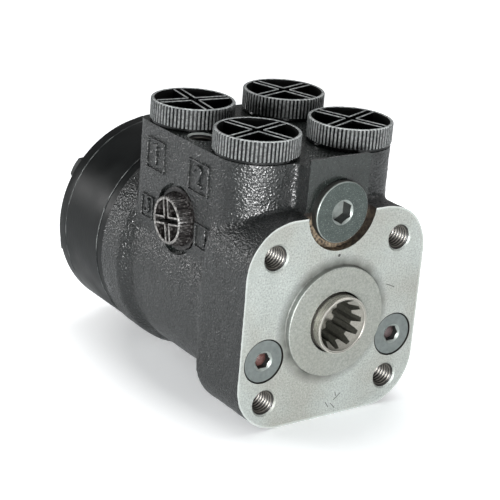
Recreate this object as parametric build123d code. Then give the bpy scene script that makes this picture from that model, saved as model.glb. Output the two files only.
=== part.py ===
from build123d import *
import math
import os

# Orbital steering unit, in millimetres.
# The origin is the centre of the column flange face, on the axis of the spool.
# +Z is up, towards the port face. The shaft enters from -Y and the unit runs back along +Y.

# Column flange and pilot at the front
bolt_circle_d = 82.55
column_hole_r = 5.0
column_hole_depth = 18.0
flange_width = 84.5
flange_top = 43.0
flange_bottom = -41.0
flange_corner_r = 20.3
flange_depth = 30.0
flange_rear_round = 4.0
pilot_r = 22.225
pilot_height = 2.5
hole_chamfer = 0.8

# Cast body behind the flange
barrel_r = 41.8
neck_dip = 0.9
neck_length = 6.8
rear_flange_length = 12.9
rear_flange_step = 0.7
rear_flange_edge = 0.8
housing_length = 98.7

# Port block on top
port_pitch = 44.0
port_row_y = 28.0
port_block_half = 38.5
port_block_end = 14.0
port_block_top = 60.7
port_block_floor = 12.0
port_block_corner_r = 5.0
tower_r = 16.5
port_r = 10.48
port_depth = 16.0
port_stem_room = 1.3
valve_bolt_x = 30.0
valve_bolt_y = 52.5
valve_bolt_r = 5.0
valve_bolt_depth = 14.0

# Boss of the relief valve between the front towers, and the notch that bares its plug
pad_y = 3.9
pad_left = -14.6
pad_right = 14.2
pad_floor = 20.0
relief_z = 43.1
notch_r = 16.0
notch_z = 44.2

# Side port with its spotface
side_port_y = 54.0
side_port_z = 28.0
side_port_r = 6.58
side_port_depth = 13.0
side_spot_r = 14.0
side_spot_depth = 2.0

# Valve set on the main axis
valve_fit = 0.02
sleeve_r = 19.0
spool_r = 14.0
bearing_front = 8.6
race_front_thick = 2.6
needle_layer = 2.0
race_rear_thick = 1.6
race_r = 18.6
race_hole_r = 12.2
needle_r = 0.95
needle_length = 4.0
needle_count = 12
cage_web = 1.2
cage_edge = 0.5
sleeve_rear_gap = 0.3
spool_rear_gap = 2.7
shoulder_gap = 0.2

# Shaft end of the spool, with its 12 internal splines
hub_r = 11.58
hub_front = -6.64
hub_mouth_r = 10.4
hub_mouth_depth = 1.95
hub_edge = 0.5
spline_teeth = 12
spline_root_r = 10.3
spline_tip_r = 8.6
spline_lead = 3.8
spline_end = 10.7
spline_relief_end = 19.5
spline_tooth_root = 3.45
spline_tooth_tip = 1.75
drain_r = 3.0
cardan_bore_r = 9.6
cardan_bore_front = 35.0

# Seals round the hub
hub_gap = 0.77
dust_front = 0.8
dust_length = 3.0
dust_r = 14.8
dust_recess = 0.0
seal_front = 5.0
seal_r = 15.5
seal_gap = 0.3

# Centring springs and their ring
spring_slot_front = 21.0
spring_slot_length = 10.0
spring_slot_half = 2.6
spring_leaf = 0.55
spring_leaf_gap = 0.05
spring_leaf_short = 0.3
spring_reach = 17.9
spring_bow = 1.05
ring_groove_r = 18.3
ring_length = 12.0
ring_fit = 0.05

# Cross pin
pin_y = 44.0
pin_r = 3.0
pin_short = 0.4
spool_turn = 8.0
pin_hole_gap = 0.35

# Gear set at the rear
plate_length = 5.5
plate_step = 0.3
ring_gear_length = 26.0
ring_gear_r = 43.7
cover_length = 6.2
cover_edge = 0.8
lobe_count = 7
lobe_centre_in = 4.7
lobe_r = 8.5
eccentricity = 2.8
gear_gap = 0.12
cavity_gap = 0.2
rotor_side_gap = 0.03
points_per_lobe = 16
port_hole_r = 2.2
port_hole_circle_r = 23.8
port_hole_depth = 9.0
plate_bore_r = 9.6
oring_in = 5.8
oring_half = 0.72
oring_chamfer = 0.4
oring_depth = 1.5
oring_width = 2.0

# Cardan shaft and spacer
cardan_head_in = 7.8
cardan_head_half = 5.0
cardan_teeth = 12
cardan_root_r = 7.0
cardan_tip_r = 8.3
cardan_tooth_root = 2.0
cardan_tooth_tip = 1.3
cardan_tooth_gap = 0.36
cardan_tip_gap = 0.5
cardan_shank_r = 5.6
cardan_fork_r = 8.7
cardan_fork_front = 38.0
cardan_fork_rear = 50.0
fork_gap = 0.15
fork_floor_gap = 0.7
cardan_rear_nose = 3.0
spacer_r = 8.7
spacer_gap = 0.3
spacer_length = 9.6
spacer_end_gap = 0.3

# Cover screws
screw_circle_in = 9.2
first_screw_angle = 146.0
screw_r = 4.0
screw_hole_r = 4.25
screw_grip = 17.0
screw_hole_extra = 2.0
screw_flats = 13.0
screw_head = 4.9
screw_head_edge = 0.6
washer_r = 7.4
washer_thick = 1.0

# Relief valve in the top front bore
plug_head_r = 12.2
plug_head_edge = 0.7
plug_head_length = 2.2
plug_stem_r = 9.0
plug_stem_length = 14.6
plug_hex = 8.0
plug_hex_depth = 5.0
plug_seal_r = 11.8
plug_seal_thick = 1.24
cartridge_r = 7.0
adjuster_length = 7.0
adjuster_hex = 5.0
adjuster_hex_depth = 4.0
relief_cavity_end = 56.0
relief_seat_y = 52.0
relief_seat_r = 2.6
poppet_stem_r = 2.4
poppet_flange_r = 5.6
poppet_length = 9.0
poppet_flange = 2.5
relief_travel = 2.0

# Shock valves in the flange
shock_x = 31.0
shock_z = -11.6
shock_pocket_r = 9.0
shock_head_r = 8.7
shock_sunk = 0.35
shock_head_length = 5.0
shock_stem_r = 7.0
shock_stem_length = 8.0
shock_pocket_depth = 6.4
shock_hex = 6.0
shock_hex_depth = 5.2
shock_seal_thick = 1.0
shock_bore_end = 42.0
shock_cavity_r = 5.0
shock_adjuster_length = 5.0
shock_adjuster_hex = 4.0
shock_seat_r = 2.0
shock_ball_r = 3.2
shock_travel = 1.5

# Coil springs of the valves
coil_wire = 1.1
coil_turns = 4.0
coil_end_gap = 0.05

# Check valve under the front right port
check_bore_r = 5.0
check_ball_r = 4.2
check_ball_z = 30.0
check_seat_r = 3.0
check_bore_bottom = 22.0
bush_z = 37.0
bush_length = 5.0
bush_hole_r = 2.5
check_travel = 2.0

# Suction valves beside the main bore
suction_angle_steps = (0.5, 3.5)
suction_circle_r = 24.0
suction_bore_r = 3.0
suction_bore_depth = 14.7
suction_seat_r = 1.6
suction_seat_length = 6.0
suction_ball_r = 2.8
suction_pin_length = 8.3
suction_pin_wall = 0.8
suction_pin_gap = 0.2

# Plastic caps on the ports
cap_r = 16.7
cap_rib_height = 0.6
cap_ribs = 66
cap_top = 69.93
cap_knurl_bottom = 62.0
cap_lip_r = 16.4
cap_seat_gap = 0.3
cap_wall = 1.3
cap_pocket_depth = 6.0
cap_cross_rib = 0.75
cap_cross_pitch = 3.2
cap_centre_gap = 1.6
cap_stem_r = 9.15
cap_stem_wall = 1.2
cap_turns = (17.0, -7.6, 22.0, 16.0)

# Plastic cap on the side port
side_cap_height = 4.5
side_cap_tip_r = 9.65
side_cap_base_r = 10.9
side_cap_ribs = 44
side_cap_rib_height = 0.45
side_cap_lip_r = 12.5
side_cap_lip = 1.0
side_cap_wall = 1.0
side_cap_pocket_depth = 4.2
side_cap_cross_rib = 0.65
side_cap_cross_pitch = 2.7
side_cap_turn = 12.0
side_cap_stem_r = 5.5
side_cap_stem_length = 9.0
side_cap_stem_wall = 1.0

# Sizes that follow from the ones above
column_hole_x = bolt_circle_d / 2 / math.sqrt(2)
port_rear_y = port_row_y + port_pitch
port_block_rear = port_rear_y + port_block_end
neck_front = housing_length - rear_flange_length - neck_length
rear_flange_r = ring_gear_r + rear_flange_step
plate_r = ring_gear_r - plate_step
screw_circle_r = ring_gear_r - screw_circle_in
lobe_centre_r = screw_circle_r - lobe_centre_in
oring_r = screw_circle_r - oring_in
suction_bore_front = housing_length - suction_bore_depth
suction_pin_rear = housing_length - suction_pin_gap
suction_pin_front = suction_pin_rear - suction_pin_length
race_rear_front = bearing_front + race_front_thick + needle_layer
sleeve_front = race_rear_front + race_rear_thick
sleeve_rear = housing_length - sleeve_rear_gap
spool_rear = housing_length - spool_rear_gap
ring_gear_front = housing_length + plate_length
cover_front = ring_gear_front + ring_gear_length
cover_rear = cover_front + cover_length
screw_seat = cover_rear + washer_thick
lobe_step = 360.0 / lobe_count
drive_angle = first_screw_angle + 4 * lobe_step
cardan_head_y = ring_gear_front + cardan_head_in
rotor_rear_bore = cardan_head_y + cardan_head_half + cardan_rear_nose
cardan_tilt = math.degrees(math.atan(eccentricity / (cardan_head_y - pin_y)))
relief_seal_front = pad_y - plug_seal_thick
relief_bore_end = pad_y + plug_stem_length
relief_adjuster_front = relief_bore_end + 1.0
shock_stem_front = shock_sunk + shock_head_length + shock_seal_thick
shock_stem_rear = shock_stem_front + shock_stem_length
shock_ball_y = shock_bore_end - math.sqrt(shock_ball_r**2 - shock_seat_r**2)


def polar(radius, angle):
    """X and Z of a point seen along the axis, with the angle from +X towards +Z."""
    turn = math.radians(angle)
    return radius * math.cos(turn), radius * math.sin(turn)


def rod(radius, front, rear, x=0.0, z=0.0):
    """Cylinder along the main axis from y = front to y = rear."""
    return Pos(x, (front + rear) / 2, z) * Rot(90, 0, 0) * Cylinder(radius, rear - front)


def tube(outer, inner, front, rear, x=0.0, z=0.0):
    """Hollow cylinder along the main axis."""
    return rod(outer, front, rear, x, z) - rod(inner, front, rear, x, z)


def post(radius, bottom, top, x, y):
    """Upright cylinder from z = bottom to z = top."""
    return Pos(x, y, (bottom + top) / 2) * Cylinder(radius, top - bottom)


def front_plane(y):
    """Plane across the main axis, its own axes being +X and +Z."""
    return Plane((0, y, 0), x_dir=(1, 0, 0), z_dir=(0, -1, 0))


def prism(sketch, front, rear):
    """Sketch of the XZ plane made solid from y = front to y = rear."""
    return extrude(front_plane(front) * sketch, amount=rear - front, dir=(0, 1, 0))


def turned(points, x=0.0, z=0.0):
    """Solid of revolution about the main axis from (radius, y) points."""
    profile = make_face(Polyline(*points, close=True))
    return Pos(x, 0, z) * revolve(profile, Axis.Y, 360)


def ring_of(shape_at, count, radius, first_angle):
    """Copies of a shape at equal angles, made by shape_at(x, z)."""
    step = 360.0 / count
    return [shape_at(*polar(radius, first_angle + index * step)) for index in range(count)]


def screw_angles():
    return [first_screw_angle + index * lobe_step for index in range(lobe_count)]


def tooth_ring(count, inner_r, outer_r, inner_width, outer_width):
    """Sketch of straight-flanked teeth between two radii, one on +X."""
    half_in = inner_width / 2
    half_out = outer_width / 2
    sink = 0.4
    tooth = make_face(
        Polyline(
            (inner_r, -half_in),
            (outer_r, -half_out),
            (outer_r + sink, -half_out),
            (outer_r + sink, half_out),
            (outer_r, half_out),
            (inner_r, half_in),
            close=True,
        )
    )
    return [Rot(0, 0, index * 360.0 / count) * tooth for index in range(count)]


def knurled(radius, rib_height, ribs):
    """Sketch of a disc with pointed ribs all round."""
    points = []
    for index in range(ribs):
        tip = 2 * math.pi * index / ribs
        root = 2 * math.pi * (index + 0.5) / ribs
        points.append((radius * math.cos(tip), radius * math.sin(tip)))
        root_r = radius - rib_height
        points.append((root_r * math.cos(root), root_r * math.sin(root)))
    return make_face(Polyline(*points, close=True))


def cross_pockets(radius, pitch, rib, centre_gap, depth):
    """Pockets of a cap top: four sectors and the crossed slots between double ribs."""
    disc = Pos(0, 0, depth / 2) * Cylinder(radius, depth)
    ribs = None
    for turn in (0, 90):
        for side in (-1, 1):
            bar = Pos(0, side * pitch / 2, depth / 2) * Box(2 * radius + 1, rib, depth)
            bar = Rot(0, 0, turn) * bar
            ribs = bar if ribs is None else ribs + bar
    centre = Pos(0, 0, depth / 2) * Box(pitch - rib, pitch - rib, depth)
    hub = Pos(0, 0, depth / 2) * Cylinder(centre_gap, depth)
    return disc - (ribs - centre - hub)


def flange_block():
    """Front of the casting, with its rounded corners and rear edge."""
    height = flange_top - flange_bottom
    outline = Pos(0, (flange_top + flange_bottom) / 2) * RectangleRounded(
        flange_width, height, flange_corner_r
    )
    block = prism(outline, 0, flange_depth)
    rear_edges = block.faces().sort_by(Axis.Y)[-1].edges()
    return fillet(rear_edges, flange_rear_round)


def barrel():
    """Round body with the hollow neck before the rear flange."""
    neck_rear = neck_front + neck_length
    straight = Polyline((0, 2), (barrel_r, 2), (barrel_r, neck_front))
    hollow = ThreePointArc(
        (barrel_r, neck_front),
        (barrel_r - neck_dip, neck_front + neck_length * 0.4),
        (rear_flange_r - rear_flange_edge, neck_rear),
    )
    flange = Polyline(
        (rear_flange_r - rear_flange_edge, neck_rear),
        (rear_flange_r, neck_rear + rear_flange_edge),
        (rear_flange_r, housing_length - rear_flange_edge),
        (rear_flange_r - rear_flange_edge, housing_length),
        (0, housing_length),
        (0, 2),
    )
    profile = make_face(straight.edges() + hollow.edges() + flange.edges())
    return revolve(profile, Axis.Y, 360)


def port_block():
    """Upright block of the ports, with round towers at its front corners."""
    height = port_block_top - port_block_floor
    depth = port_block_rear - port_row_y
    plan = Pos(0, port_row_y + depth / 2) * Rectangle(2 * port_block_half, depth)
    rear_corners = plan.vertices().group_by(Axis.Y)[-1]
    plan = fillet(rear_corners, port_block_corner_r)
    tower_x = port_block_half - tower_r
    for side in (-1, 1):
        plan = plan + Pos(side * tower_x, port_row_y) * Circle(tower_r)
    block = Pos(0, 0, port_block_floor) * extrude(plan, amount=height)
    boss_width = pad_right - pad_left
    boss_depth = port_row_y - pad_y
    boss_height = port_block_top - pad_floor
    boss = Pos((pad_left + pad_right) / 2, pad_y + boss_depth / 2, pad_floor + boss_height / 2)
    return block + boss * Box(boss_width, boss_depth, boss_height)


def port_places():
    """X and Y of the ports: front left, rear left, front right, rear right."""
    half = port_pitch / 2
    return [(x, y) for x in (-half, half) for y in (port_row_y, port_rear_y)]


def column_holes():
    holes = []
    for x in (-column_hole_x, column_hole_x):
        for z in (-column_hole_x, column_hole_x):
            mouth_r = column_hole_r + hole_chamfer
            points = [(0, 0), (mouth_r, 0), (column_hole_r, hole_chamfer)]
            points += [(column_hole_r, column_hole_depth), (0, column_hole_depth + column_hole_r / 2)]
            holes.append(turned(points, x, z))
    return holes


def port_bores():
    cuts = []
    for x, y in port_places():
        cuts.append(post(port_r, port_block_top - port_depth, port_block_top, x, y))
    for side in (-1, 1):
        bottom = port_block_top - valve_bolt_depth
        cuts.append(post(valve_bolt_r, bottom, port_block_top, side * valve_bolt_x, valve_bolt_y))
    spot_floor = -port_block_half + side_spot_depth
    across = Pos(0, side_port_y, side_port_z) * Rot(0, 90, 0)
    spot_length = 8.0
    cuts.append(across * Pos(0, 0, spot_floor - spot_length / 2) * Cylinder(side_spot_r, spot_length))
    cuts.append(across * Pos(0, 0, spot_floor + side_port_depth / 2) * Cylinder(side_port_r, side_port_depth))
    return cuts


def main_bore():
    """Stepped bore of the valve set, its seal seats and the front opening."""
    opening_r = hub_r + hub_gap
    front = -pilot_height
    return [
        rod(opening_r, front, bearing_front),
        rod(dust_r, dust_front, dust_front + dust_length),
        rod(seal_r, seal_front, bearing_front),
        rod(sleeve_r + valve_fit, bearing_front, housing_length),
    ]


def relief_bores():
    return [
        rod(plug_stem_r + valve_fit, pad_y, relief_bore_end, 0, relief_z),
        rod(cartridge_r, relief_bore_end, relief_seat_y, 0, relief_z),
        rod(relief_seat_r, relief_seat_y, relief_cavity_end, 0, relief_z),
    ]


def shock_bores():
    cuts = []
    for side in (-1, 1):
        x = side * shock_x
        cuts.append(rod(shock_pocket_r, 0, shock_stem_front, x, shock_z))
        cuts.append(rod(shock_stem_r + valve_fit, shock_stem_front, shock_stem_rear, x, shock_z))
        cuts.append(rod(shock_cavity_r, shock_stem_rear, shock_bore_end, x, shock_z))
        cuts.append(rod(shock_seat_r, shock_bore_end, shock_bore_end + 6, x, shock_z))
    return cuts


def check_bores():
    x, y = port_places()[2]
    return [
        post(check_bore_r, check_ball_z, port_block_top - port_depth, x, y),
        Pos(x, y, check_ball_z) * Sphere(check_bore_r),
        post(check_seat_r, check_bore_bottom, check_ball_z, x, y),
    ]


def suction_places():
    angles = [first_screw_angle + lobe_step * steps for steps in suction_angle_steps]
    return [polar(suction_circle_r, angle) for angle in angles]


def rear_face_cuts():
    """Screw threads, feed holes, suction bores and the O-ring groove of the rear face."""
    rear = housing_length
    bottom = rear - screw_grip - screw_hole_extra
    cuts = ring_of(
        lambda x, z: rod(screw_r + valve_fit, bottom, rear, x, z),
        lobe_count,
        screw_circle_r,
        first_screw_angle,
    )
    cuts += ring_of(
        lambda x, z: rod(port_hole_r, rear - port_hole_depth, rear, x, z),
        lobe_count,
        port_hole_circle_r,
        first_screw_angle,
    )
    for x, z in suction_places():
        cuts.append(rod(suction_bore_r, suction_bore_front, rear, x, z))
        seat_front = suction_bore_front - suction_seat_length
        cuts.append(rod(suction_seat_r, seat_front, suction_bore_front, x, z))
    cuts.append(oring_groove(rear - oring_depth, rear))
    return cuts


def oring_groove(front, rear):
    return tube(oring_r + oring_width / 2, oring_r - oring_width / 2, front, rear)


def housing():
    body = flange_block() + barrel() + port_block() + rod(pilot_r, -pilot_height, 1)
    notch = rod(notch_r, -1, pad_y, 0, notch_z)
    cuts = [notch] + column_holes() + port_bores() + main_bore()
    cuts += relief_bores() + shock_bores() + check_bores() + rear_face_cuts()
    return body - cuts


def oring(y):
    """O-ring as it lies squeezed in its groove, nearly square."""
    section = Pos(oring_r, y) * Rectangle(2 * oring_half, 2 * oring_half)
    section = chamfer(section.vertices(), oring_chamfer)
    return revolve(section, Axis.Y, 360)


def dust_seal():
    rear = dust_front + dust_length
    lip_r = hub_r + seal_gap
    waist = dust_front + dust_length / 2
    return turned(
        [
            (lip_r, dust_front),
            (dust_r, dust_front),
            (dust_r, rear),
            (lip_r + 1.2, rear),
            (lip_r + 1.2, waist),
            (lip_r, waist),
        ]
    )


def shaft_seal():
    lip_r = hub_r + seal_gap
    rear = bearing_front
    middle = (seal_front + rear) / 2
    return turned(
        [
            (lip_r + 0.8, seal_front),
            (seal_r, seal_front),
            (seal_r, rear),
            (lip_r + 1.6, rear),
            (lip_r, middle),
        ]
    )


def thrust_race_front():
    return tube(race_r, race_hole_r, bearing_front, bearing_front + race_front_thick)


def thrust_race_rear():
    return tube(race_r, race_hole_r, race_rear_front, sleeve_front)


def needle_cage():
    """Cage of the thrust bearing with its needles lying as spokes."""
    middle = bearing_front + race_front_thick + needle_layer / 2
    cage_in = race_hole_r + cage_edge
    cage_out = race_r - cage_edge
    cage = tube(cage_out, cage_in, middle - cage_web / 2, middle + cage_web / 2)
    needle_mid = (cage_in + cage_out) / 2
    for index in range(needle_count):
        x, z = polar(needle_mid, index * 360.0 / needle_count)
        lie = Pos(x, middle, z) * Rot(0, -index * 360.0 / needle_count, 0) * Rot(0, 90, 0)
        cage = cage + lie * Cylinder(needle_r, needle_length)
    return cage


def spring_slot():
    """Box of the slot that the leaf springs lie in, right across the valve set."""
    middle = spring_slot_front + spring_slot_length / 2
    return Pos(0, middle, 0) * Box(3 * sleeve_r, spring_slot_length, 2 * spring_slot_half)


def sleeve():
    """Outer valve sleeve with its feed holes, grooves, spring slot and pin holes."""
    body = tube(sleeve_r, spool_r + valve_fit, sleeve_front, sleeve_rear)
    groove_front = spring_slot_front + spring_slot_length / 2 - ring_length / 2
    cuts = [spring_slot(), tube(sleeve_r + 1, ring_groove_r, groove_front, groove_front + ring_length)]
    cuts.append(Pos(0, pin_y, 0) * Rot(0, 90, 0) * Cylinder(pin_r + valve_fit, 3 * sleeve_r))
    for y in (58.0, 74.0):
        cuts.append(tube(sleeve_r + 1, sleeve_r - 1.2, y - 2, y + 2))
    for y, count, hole_r in ((66.0, 6, 1.6), (84.0, 12, 1.3)):
        for index in range(count // 2):
            turn = Rot(0, index * 360.0 / count, 0)
            cuts.append(Pos(0, y, 0) * turn * Rot(0, 90, 0) * Cylinder(hole_r, 3 * sleeve_r))
    return body - cuts


def spline_bore():
    """Hollow of the shaft end: mouth, cone, splines and relief."""
    mouth_rear = hub_front + hub_mouth_depth
    cone_rear = mouth_rear + spline_lead
    cut = rod(hub_mouth_r, hub_front, mouth_rear)
    cut = cut + turned(
        [(0, mouth_rear), (hub_mouth_r, mouth_rear), (spline_tip_r, cone_rear), (0, cone_rear)]
    )
    bore = Circle(spline_root_r)
    teeth = tooth_ring(
        spline_teeth, spline_tip_r, spline_root_r, spline_tooth_tip, spline_tooth_root
    )
    bore = bore - [Rot(0, 0, 180.0 / spline_teeth) * tooth for tooth in teeth]
    cut = cut + prism(bore, mouth_rear, spline_end)
    return cut + rod(spline_root_r, spline_end, spline_relief_end)


def spool():
    """Inner valve spool, whose front end is the splined hub."""
    hub = turned(
        [
            (0, hub_front),
            (hub_r - hub_edge, hub_front),
            (hub_r, hub_front + hub_edge),
            (hub_r, sleeve_front + shoulder_gap),
            (spool_r, sleeve_front + shoulder_gap),
            (spool_r, spool_rear),
            (0, spool_rear),
        ]
    )
    pin_room = pin_r + spool_r * math.sin(math.radians(spool_turn)) + pin_hole_gap
    cuts = [spline_bore(), spring_slot()]
    cuts.append(rod(drain_r, spline_relief_end, cardan_bore_front))
    cuts.append(rod(cardan_bore_r, cardan_bore_front, spool_rear))
    cuts.append(Pos(0, pin_y, 0) * Rot(0, 90, 0) * Cylinder(pin_room, 3 * spool_r))
    groove_length = 26.0
    for index in range(6):
        lie = Rot(0, 30 + index * 60, 0) * Pos(spool_r, 72, 0)
        cuts.append(lie * Box(1.8, groove_length, 3.0))
    return hub - cuts


def centring_springs():
    """Two flat leaves between two pairs of bowed ones, all across the slot."""
    front = spring_slot_front + spring_leaf_short
    rear = spring_slot_front + spring_slot_length - spring_leaf_short
    leaves = []
    for side in (-1, 1):
        offset = side * (spring_leaf + spring_leaf_gap) / 2
        flat = Pos(0, offset) * Rectangle(2 * spring_reach, spring_leaf)
        leaves.append(prism(flat, front, rear))
        for layer in (1, 2):
            near = (spring_leaf + spring_leaf_gap) * (layer + 0.5) - spring_leaf / 2
            low = side * (near - spring_leaf / 2)
            high = side * (near + spring_leaf / 2)
            bow = side * spring_bow
            inner = ThreePointArc((-spring_reach, low + bow), (0, low), (spring_reach, low + bow))
            outer = ThreePointArc((spring_reach, high + bow), (0, high), (-spring_reach, high + bow))
            ends = [
                Line((spring_reach, low + bow), (spring_reach, high + bow)),
                Line((-spring_reach, high + bow), (-spring_reach, low + bow)),
            ]
            bowed = make_face([inner, outer] + ends)
            leaves.append(prism(bowed, front, rear))
    return Compound(children=leaves)


def spring_ring():
    front = spring_slot_front + spring_slot_length / 2 - ring_length / 2
    return tube(
        sleeve_r - ring_fit, ring_groove_r + ring_fit, front + ring_fit, front + ring_length - ring_fit
    )


def cross_pin():
    length = 2 * (sleeve_r - pin_short)
    return Pos(0, pin_y, 0) * Rot(0, 90, 0) * Cylinder(pin_r, length)


def lobed_outline():
    """Closed curve of the rotor: the inner envelope of the ring's seven round lobes."""
    teeth = lobe_count - 1
    grown = lobe_r + gear_gap
    ratio = lobe_centre_r / (eccentricity * lobe_count)
    points = []
    for index in range(points_per_lobe + 1):
        turn = 2 * math.pi * index / (teeth * points_per_lobe)
        lean = math.atan(math.sin(teeth * turn) / (math.cos(teeth * turn) - ratio))
        x = lobe_centre_r * math.cos(turn)
        x += -grown * math.cos(turn + lean) - eccentricity * math.cos(lobe_count * turn)
        y = lobe_centre_r * math.sin(turn)
        y += -grown * math.sin(turn + lean) - eccentricity * math.sin(lobe_count * turn)
        points.append((x, y))
    step = 360.0 / teeth
    starts = range(0, points_per_lobe, 2)
    arcs = [ThreePointArc(*points[start : start + 3]) for start in starts]
    return make_face([Rot(0, 0, index * step) * arc for index in range(teeth) for arc in arcs])


def rotor():
    """Six-lobed rotor on its own eccentric axis, with the splines of the cardan shaft."""
    front = ring_gear_front + rotor_side_gap
    rear = cover_front - rotor_side_gap
    body = prism(Rot(0, 0, drive_angle) * lobed_outline(), front, rear)
    wall_r = cardan_tip_r + cardan_tip_gap
    tip_r = cardan_root_r + cardan_tip_gap
    pitch_in = 2 * math.pi * tip_r / cardan_teeth
    pitch_out = 2 * math.pi * wall_r / cardan_teeth
    gap_in = cardan_tooth_root + 2 * cardan_tooth_gap
    gap_out = cardan_tooth_tip + 2 * cardan_tooth_gap
    teeth = tooth_ring(cardan_teeth, tip_r, wall_r, pitch_in - gap_in, pitch_out - gap_out)
    bore = Circle(wall_r) - [Rot(0, 0, 180.0 / cardan_teeth) * tooth for tooth in teeth]
    body = body - prism(bore, front, rotor_rear_bore)
    body = body - rod(spacer_r + spacer_gap, rotor_rear_bore, rear)
    x, z = polar(eccentricity, drive_angle)
    return Pos(x, 0, z) * body


def gear_ring():
    """Outer ring with seven inward lobes, clamped by the cover screws."""
    body = rod(ring_gear_r, ring_gear_front, cover_front)
    cavity_r = lobe_centre_r - lobe_r + 2 * eccentricity + cavity_gap
    cavity = Circle(cavity_r)
    for angle in screw_angles():
        cavity = cavity - Pos(*polar(lobe_centre_r, angle)) * Circle(lobe_r)
    body = body - prism(cavity, ring_gear_front, cover_front)
    body = body - screw_holes(ring_gear_front, cover_front)
    body = body - oring_groove(ring_gear_front, ring_gear_front + oring_depth)
    return body - oring_groove(cover_front - oring_depth, cover_front)


def screw_holes(front, rear):
    return ring_of(
        lambda x, z: rod(screw_hole_r, front, rear, x, z), lobe_count, screw_circle_r, first_screw_angle
    )


def distributor_plate():
    rear = ring_gear_front
    body = tube(plate_r, plate_bore_r, housing_length, rear)
    feeds = ring_of(
        lambda x, z: rod(port_hole_r, housing_length, rear, x, z),
        lobe_count,
        port_hole_circle_r,
        first_screw_angle + lobe_step / 2,
    )
    return body - feeds - screw_holes(housing_length, rear)


def end_cover():
    edge = cover_edge
    body = turned(
        [
            (0, cover_front),
            (ring_gear_r, cover_front),
            (ring_gear_r, cover_rear - edge),
            (ring_gear_r - edge, cover_rear),
            (0, cover_rear),
        ]
    )
    return body - screw_holes(cover_front, cover_rear)


def hex_screw(x, z, turn):
    """Hexagon screw from its head at the cover to its thread in the housing."""
    tip = housing_length - screw_grip
    head = prism(Rot(0, 0, turn) * RegularPolygon(screw_flats / 2, 6, major_radius=False), 0, screw_head)
    crown_r = screw_flats / 2
    crown = turned(
        [
            (0, 0),
            (crown_r * 1.3, 0),
            (crown_r * 1.3, screw_head - screw_head_edge * 2),
            (crown_r, screw_head),
            (0, screw_head),
        ]
    )
    head = Pos(x, screw_seat, z) * (head & crown)
    return head + rod(screw_r, tip, screw_seat, x, z)


def washer(x, z):
    return tube(washer_r, screw_hole_r, cover_rear, screw_seat, x, z)


def cardan_shaft():
    """Shaft with a fork over the cross pin and a short crowned spline in the rotor."""
    head_front = cardan_head_y - cardan_head_half
    head_rear = cardan_head_y + cardan_head_half
    crown = 0.5
    core = turned(
        [
            (0, cardan_fork_front),
            (cardan_fork_r - 1, cardan_fork_front),
            (cardan_fork_r, cardan_fork_front + 1),
            (cardan_fork_r, cardan_fork_rear),
            (cardan_shank_r, cardan_fork_rear + 3),
            (cardan_shank_r, head_front - 3),
            (cardan_root_r, head_front),
            (cardan_root_r, head_rear),
            (cardan_root_r - 3, head_rear + cardan_rear_nose - spacer_gap),
            (0, head_rear + cardan_rear_nose - spacer_gap),
        ]
    )
    teeth = Circle(cardan_root_r)
    tooth = Polygon(
        (cardan_root_r - 0.5, -cardan_tooth_root / 2),
        (cardan_tip_r, -cardan_tooth_tip / 2),
        (cardan_tip_r, cardan_tooth_tip / 2),
        (cardan_root_r - 0.5, cardan_tooth_root / 2),
        align=None,
    )
    for index in range(cardan_teeth):
        teeth = teeth + Rot(0, 0, index * 360.0 / cardan_teeth) * tooth
    crowned = turned(
        [
            (0, head_front),
            (cardan_tip_r - crown, head_front),
            (cardan_tip_r, head_front + 2),
            (cardan_tip_r, head_rear - 2),
            (cardan_tip_r - crown, head_rear),
            (0, head_rear),
        ]
    )
    core = core + (prism(teeth, head_front, head_rear) & crowned)
    slot_rear = pin_y + pin_r + fork_floor_gap
    slot_mid = (cardan_fork_front + slot_rear) / 2
    slot = Box(4 * cardan_fork_r, slot_rear - cardan_fork_front, 2 * (pin_r + fork_gap))
    core = core - Pos(0, slot_mid, 0) * slot
    lean_x, lean_z = polar(1, drive_angle)
    return core.rotate(Axis((0, pin_y, 0), (lean_z, 0, -lean_x)), cardan_tilt)


def drive_spacer():
    rear = cover_front - spacer_end_gap
    x, z = polar(eccentricity, drive_angle)
    return rod(spacer_r, rear - spacer_length, rear, x, z)


def coil(radius, front, rear, x, z):
    """Coil spring of square wire between two faces."""
    height = rear - front - coil_wire - 2 * coil_end_gap
    path = Helix(height / coil_turns, height, radius)
    lie = Pos(x, front + coil_end_gap + coil_wire / 2, z) * Rot(-90, 0, 0)
    section = Plane(path @ 0, x_dir=(1, 0, 0), z_dir=path % 0) * Rectangle(coil_wire, coil_wire)
    return lie * sweep(section, path=path, is_frenet=True)


def relief_plug():
    """Hexagon socket plug that closes the relief valve."""
    front = relief_seal_front - plug_head_length
    head = turned(
        [
            (0, front),
            (plug_head_r - plug_head_edge, front),
            (plug_head_r, front + plug_head_edge),
            (plug_head_r, relief_seal_front),
            (0, relief_seal_front),
        ],
        0,
        relief_z,
    )
    body = head + rod(plug_stem_r, relief_seal_front, relief_bore_end, 0, relief_z)
    hexagon = Pos(0, relief_z) * RegularPolygon(plug_hex / 2, 6, major_radius=False)
    mouth_r = plug_hex / 2 * 1.3
    mouth = turned(
        [(0, front), (mouth_r, front), (0, front + mouth_r * 0.6)],
        0,
        relief_z,
    )
    return body - prism(hexagon, front, front + plug_hex_depth) - mouth


def relief_seal_ring():
    return tube(plug_seal_r, plug_stem_r + valve_fit, relief_seal_front, pad_y, 0, relief_z)


def socket_set_screw(radius, flats, front, rear, socket_depth, x, z):
    hexagon = Pos(x, z) * RegularPolygon(flats / 2, 6, major_radius=False)
    return rod(radius, front, rear, x, z) - prism(hexagon, front, front + socket_depth)


def relief_adjuster():
    rear = relief_adjuster_front + adjuster_length
    radius = cartridge_r - valve_fit
    return socket_set_screw(
        radius, adjuster_hex, relief_adjuster_front, rear, adjuster_hex_depth, 0, relief_z
    )


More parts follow.
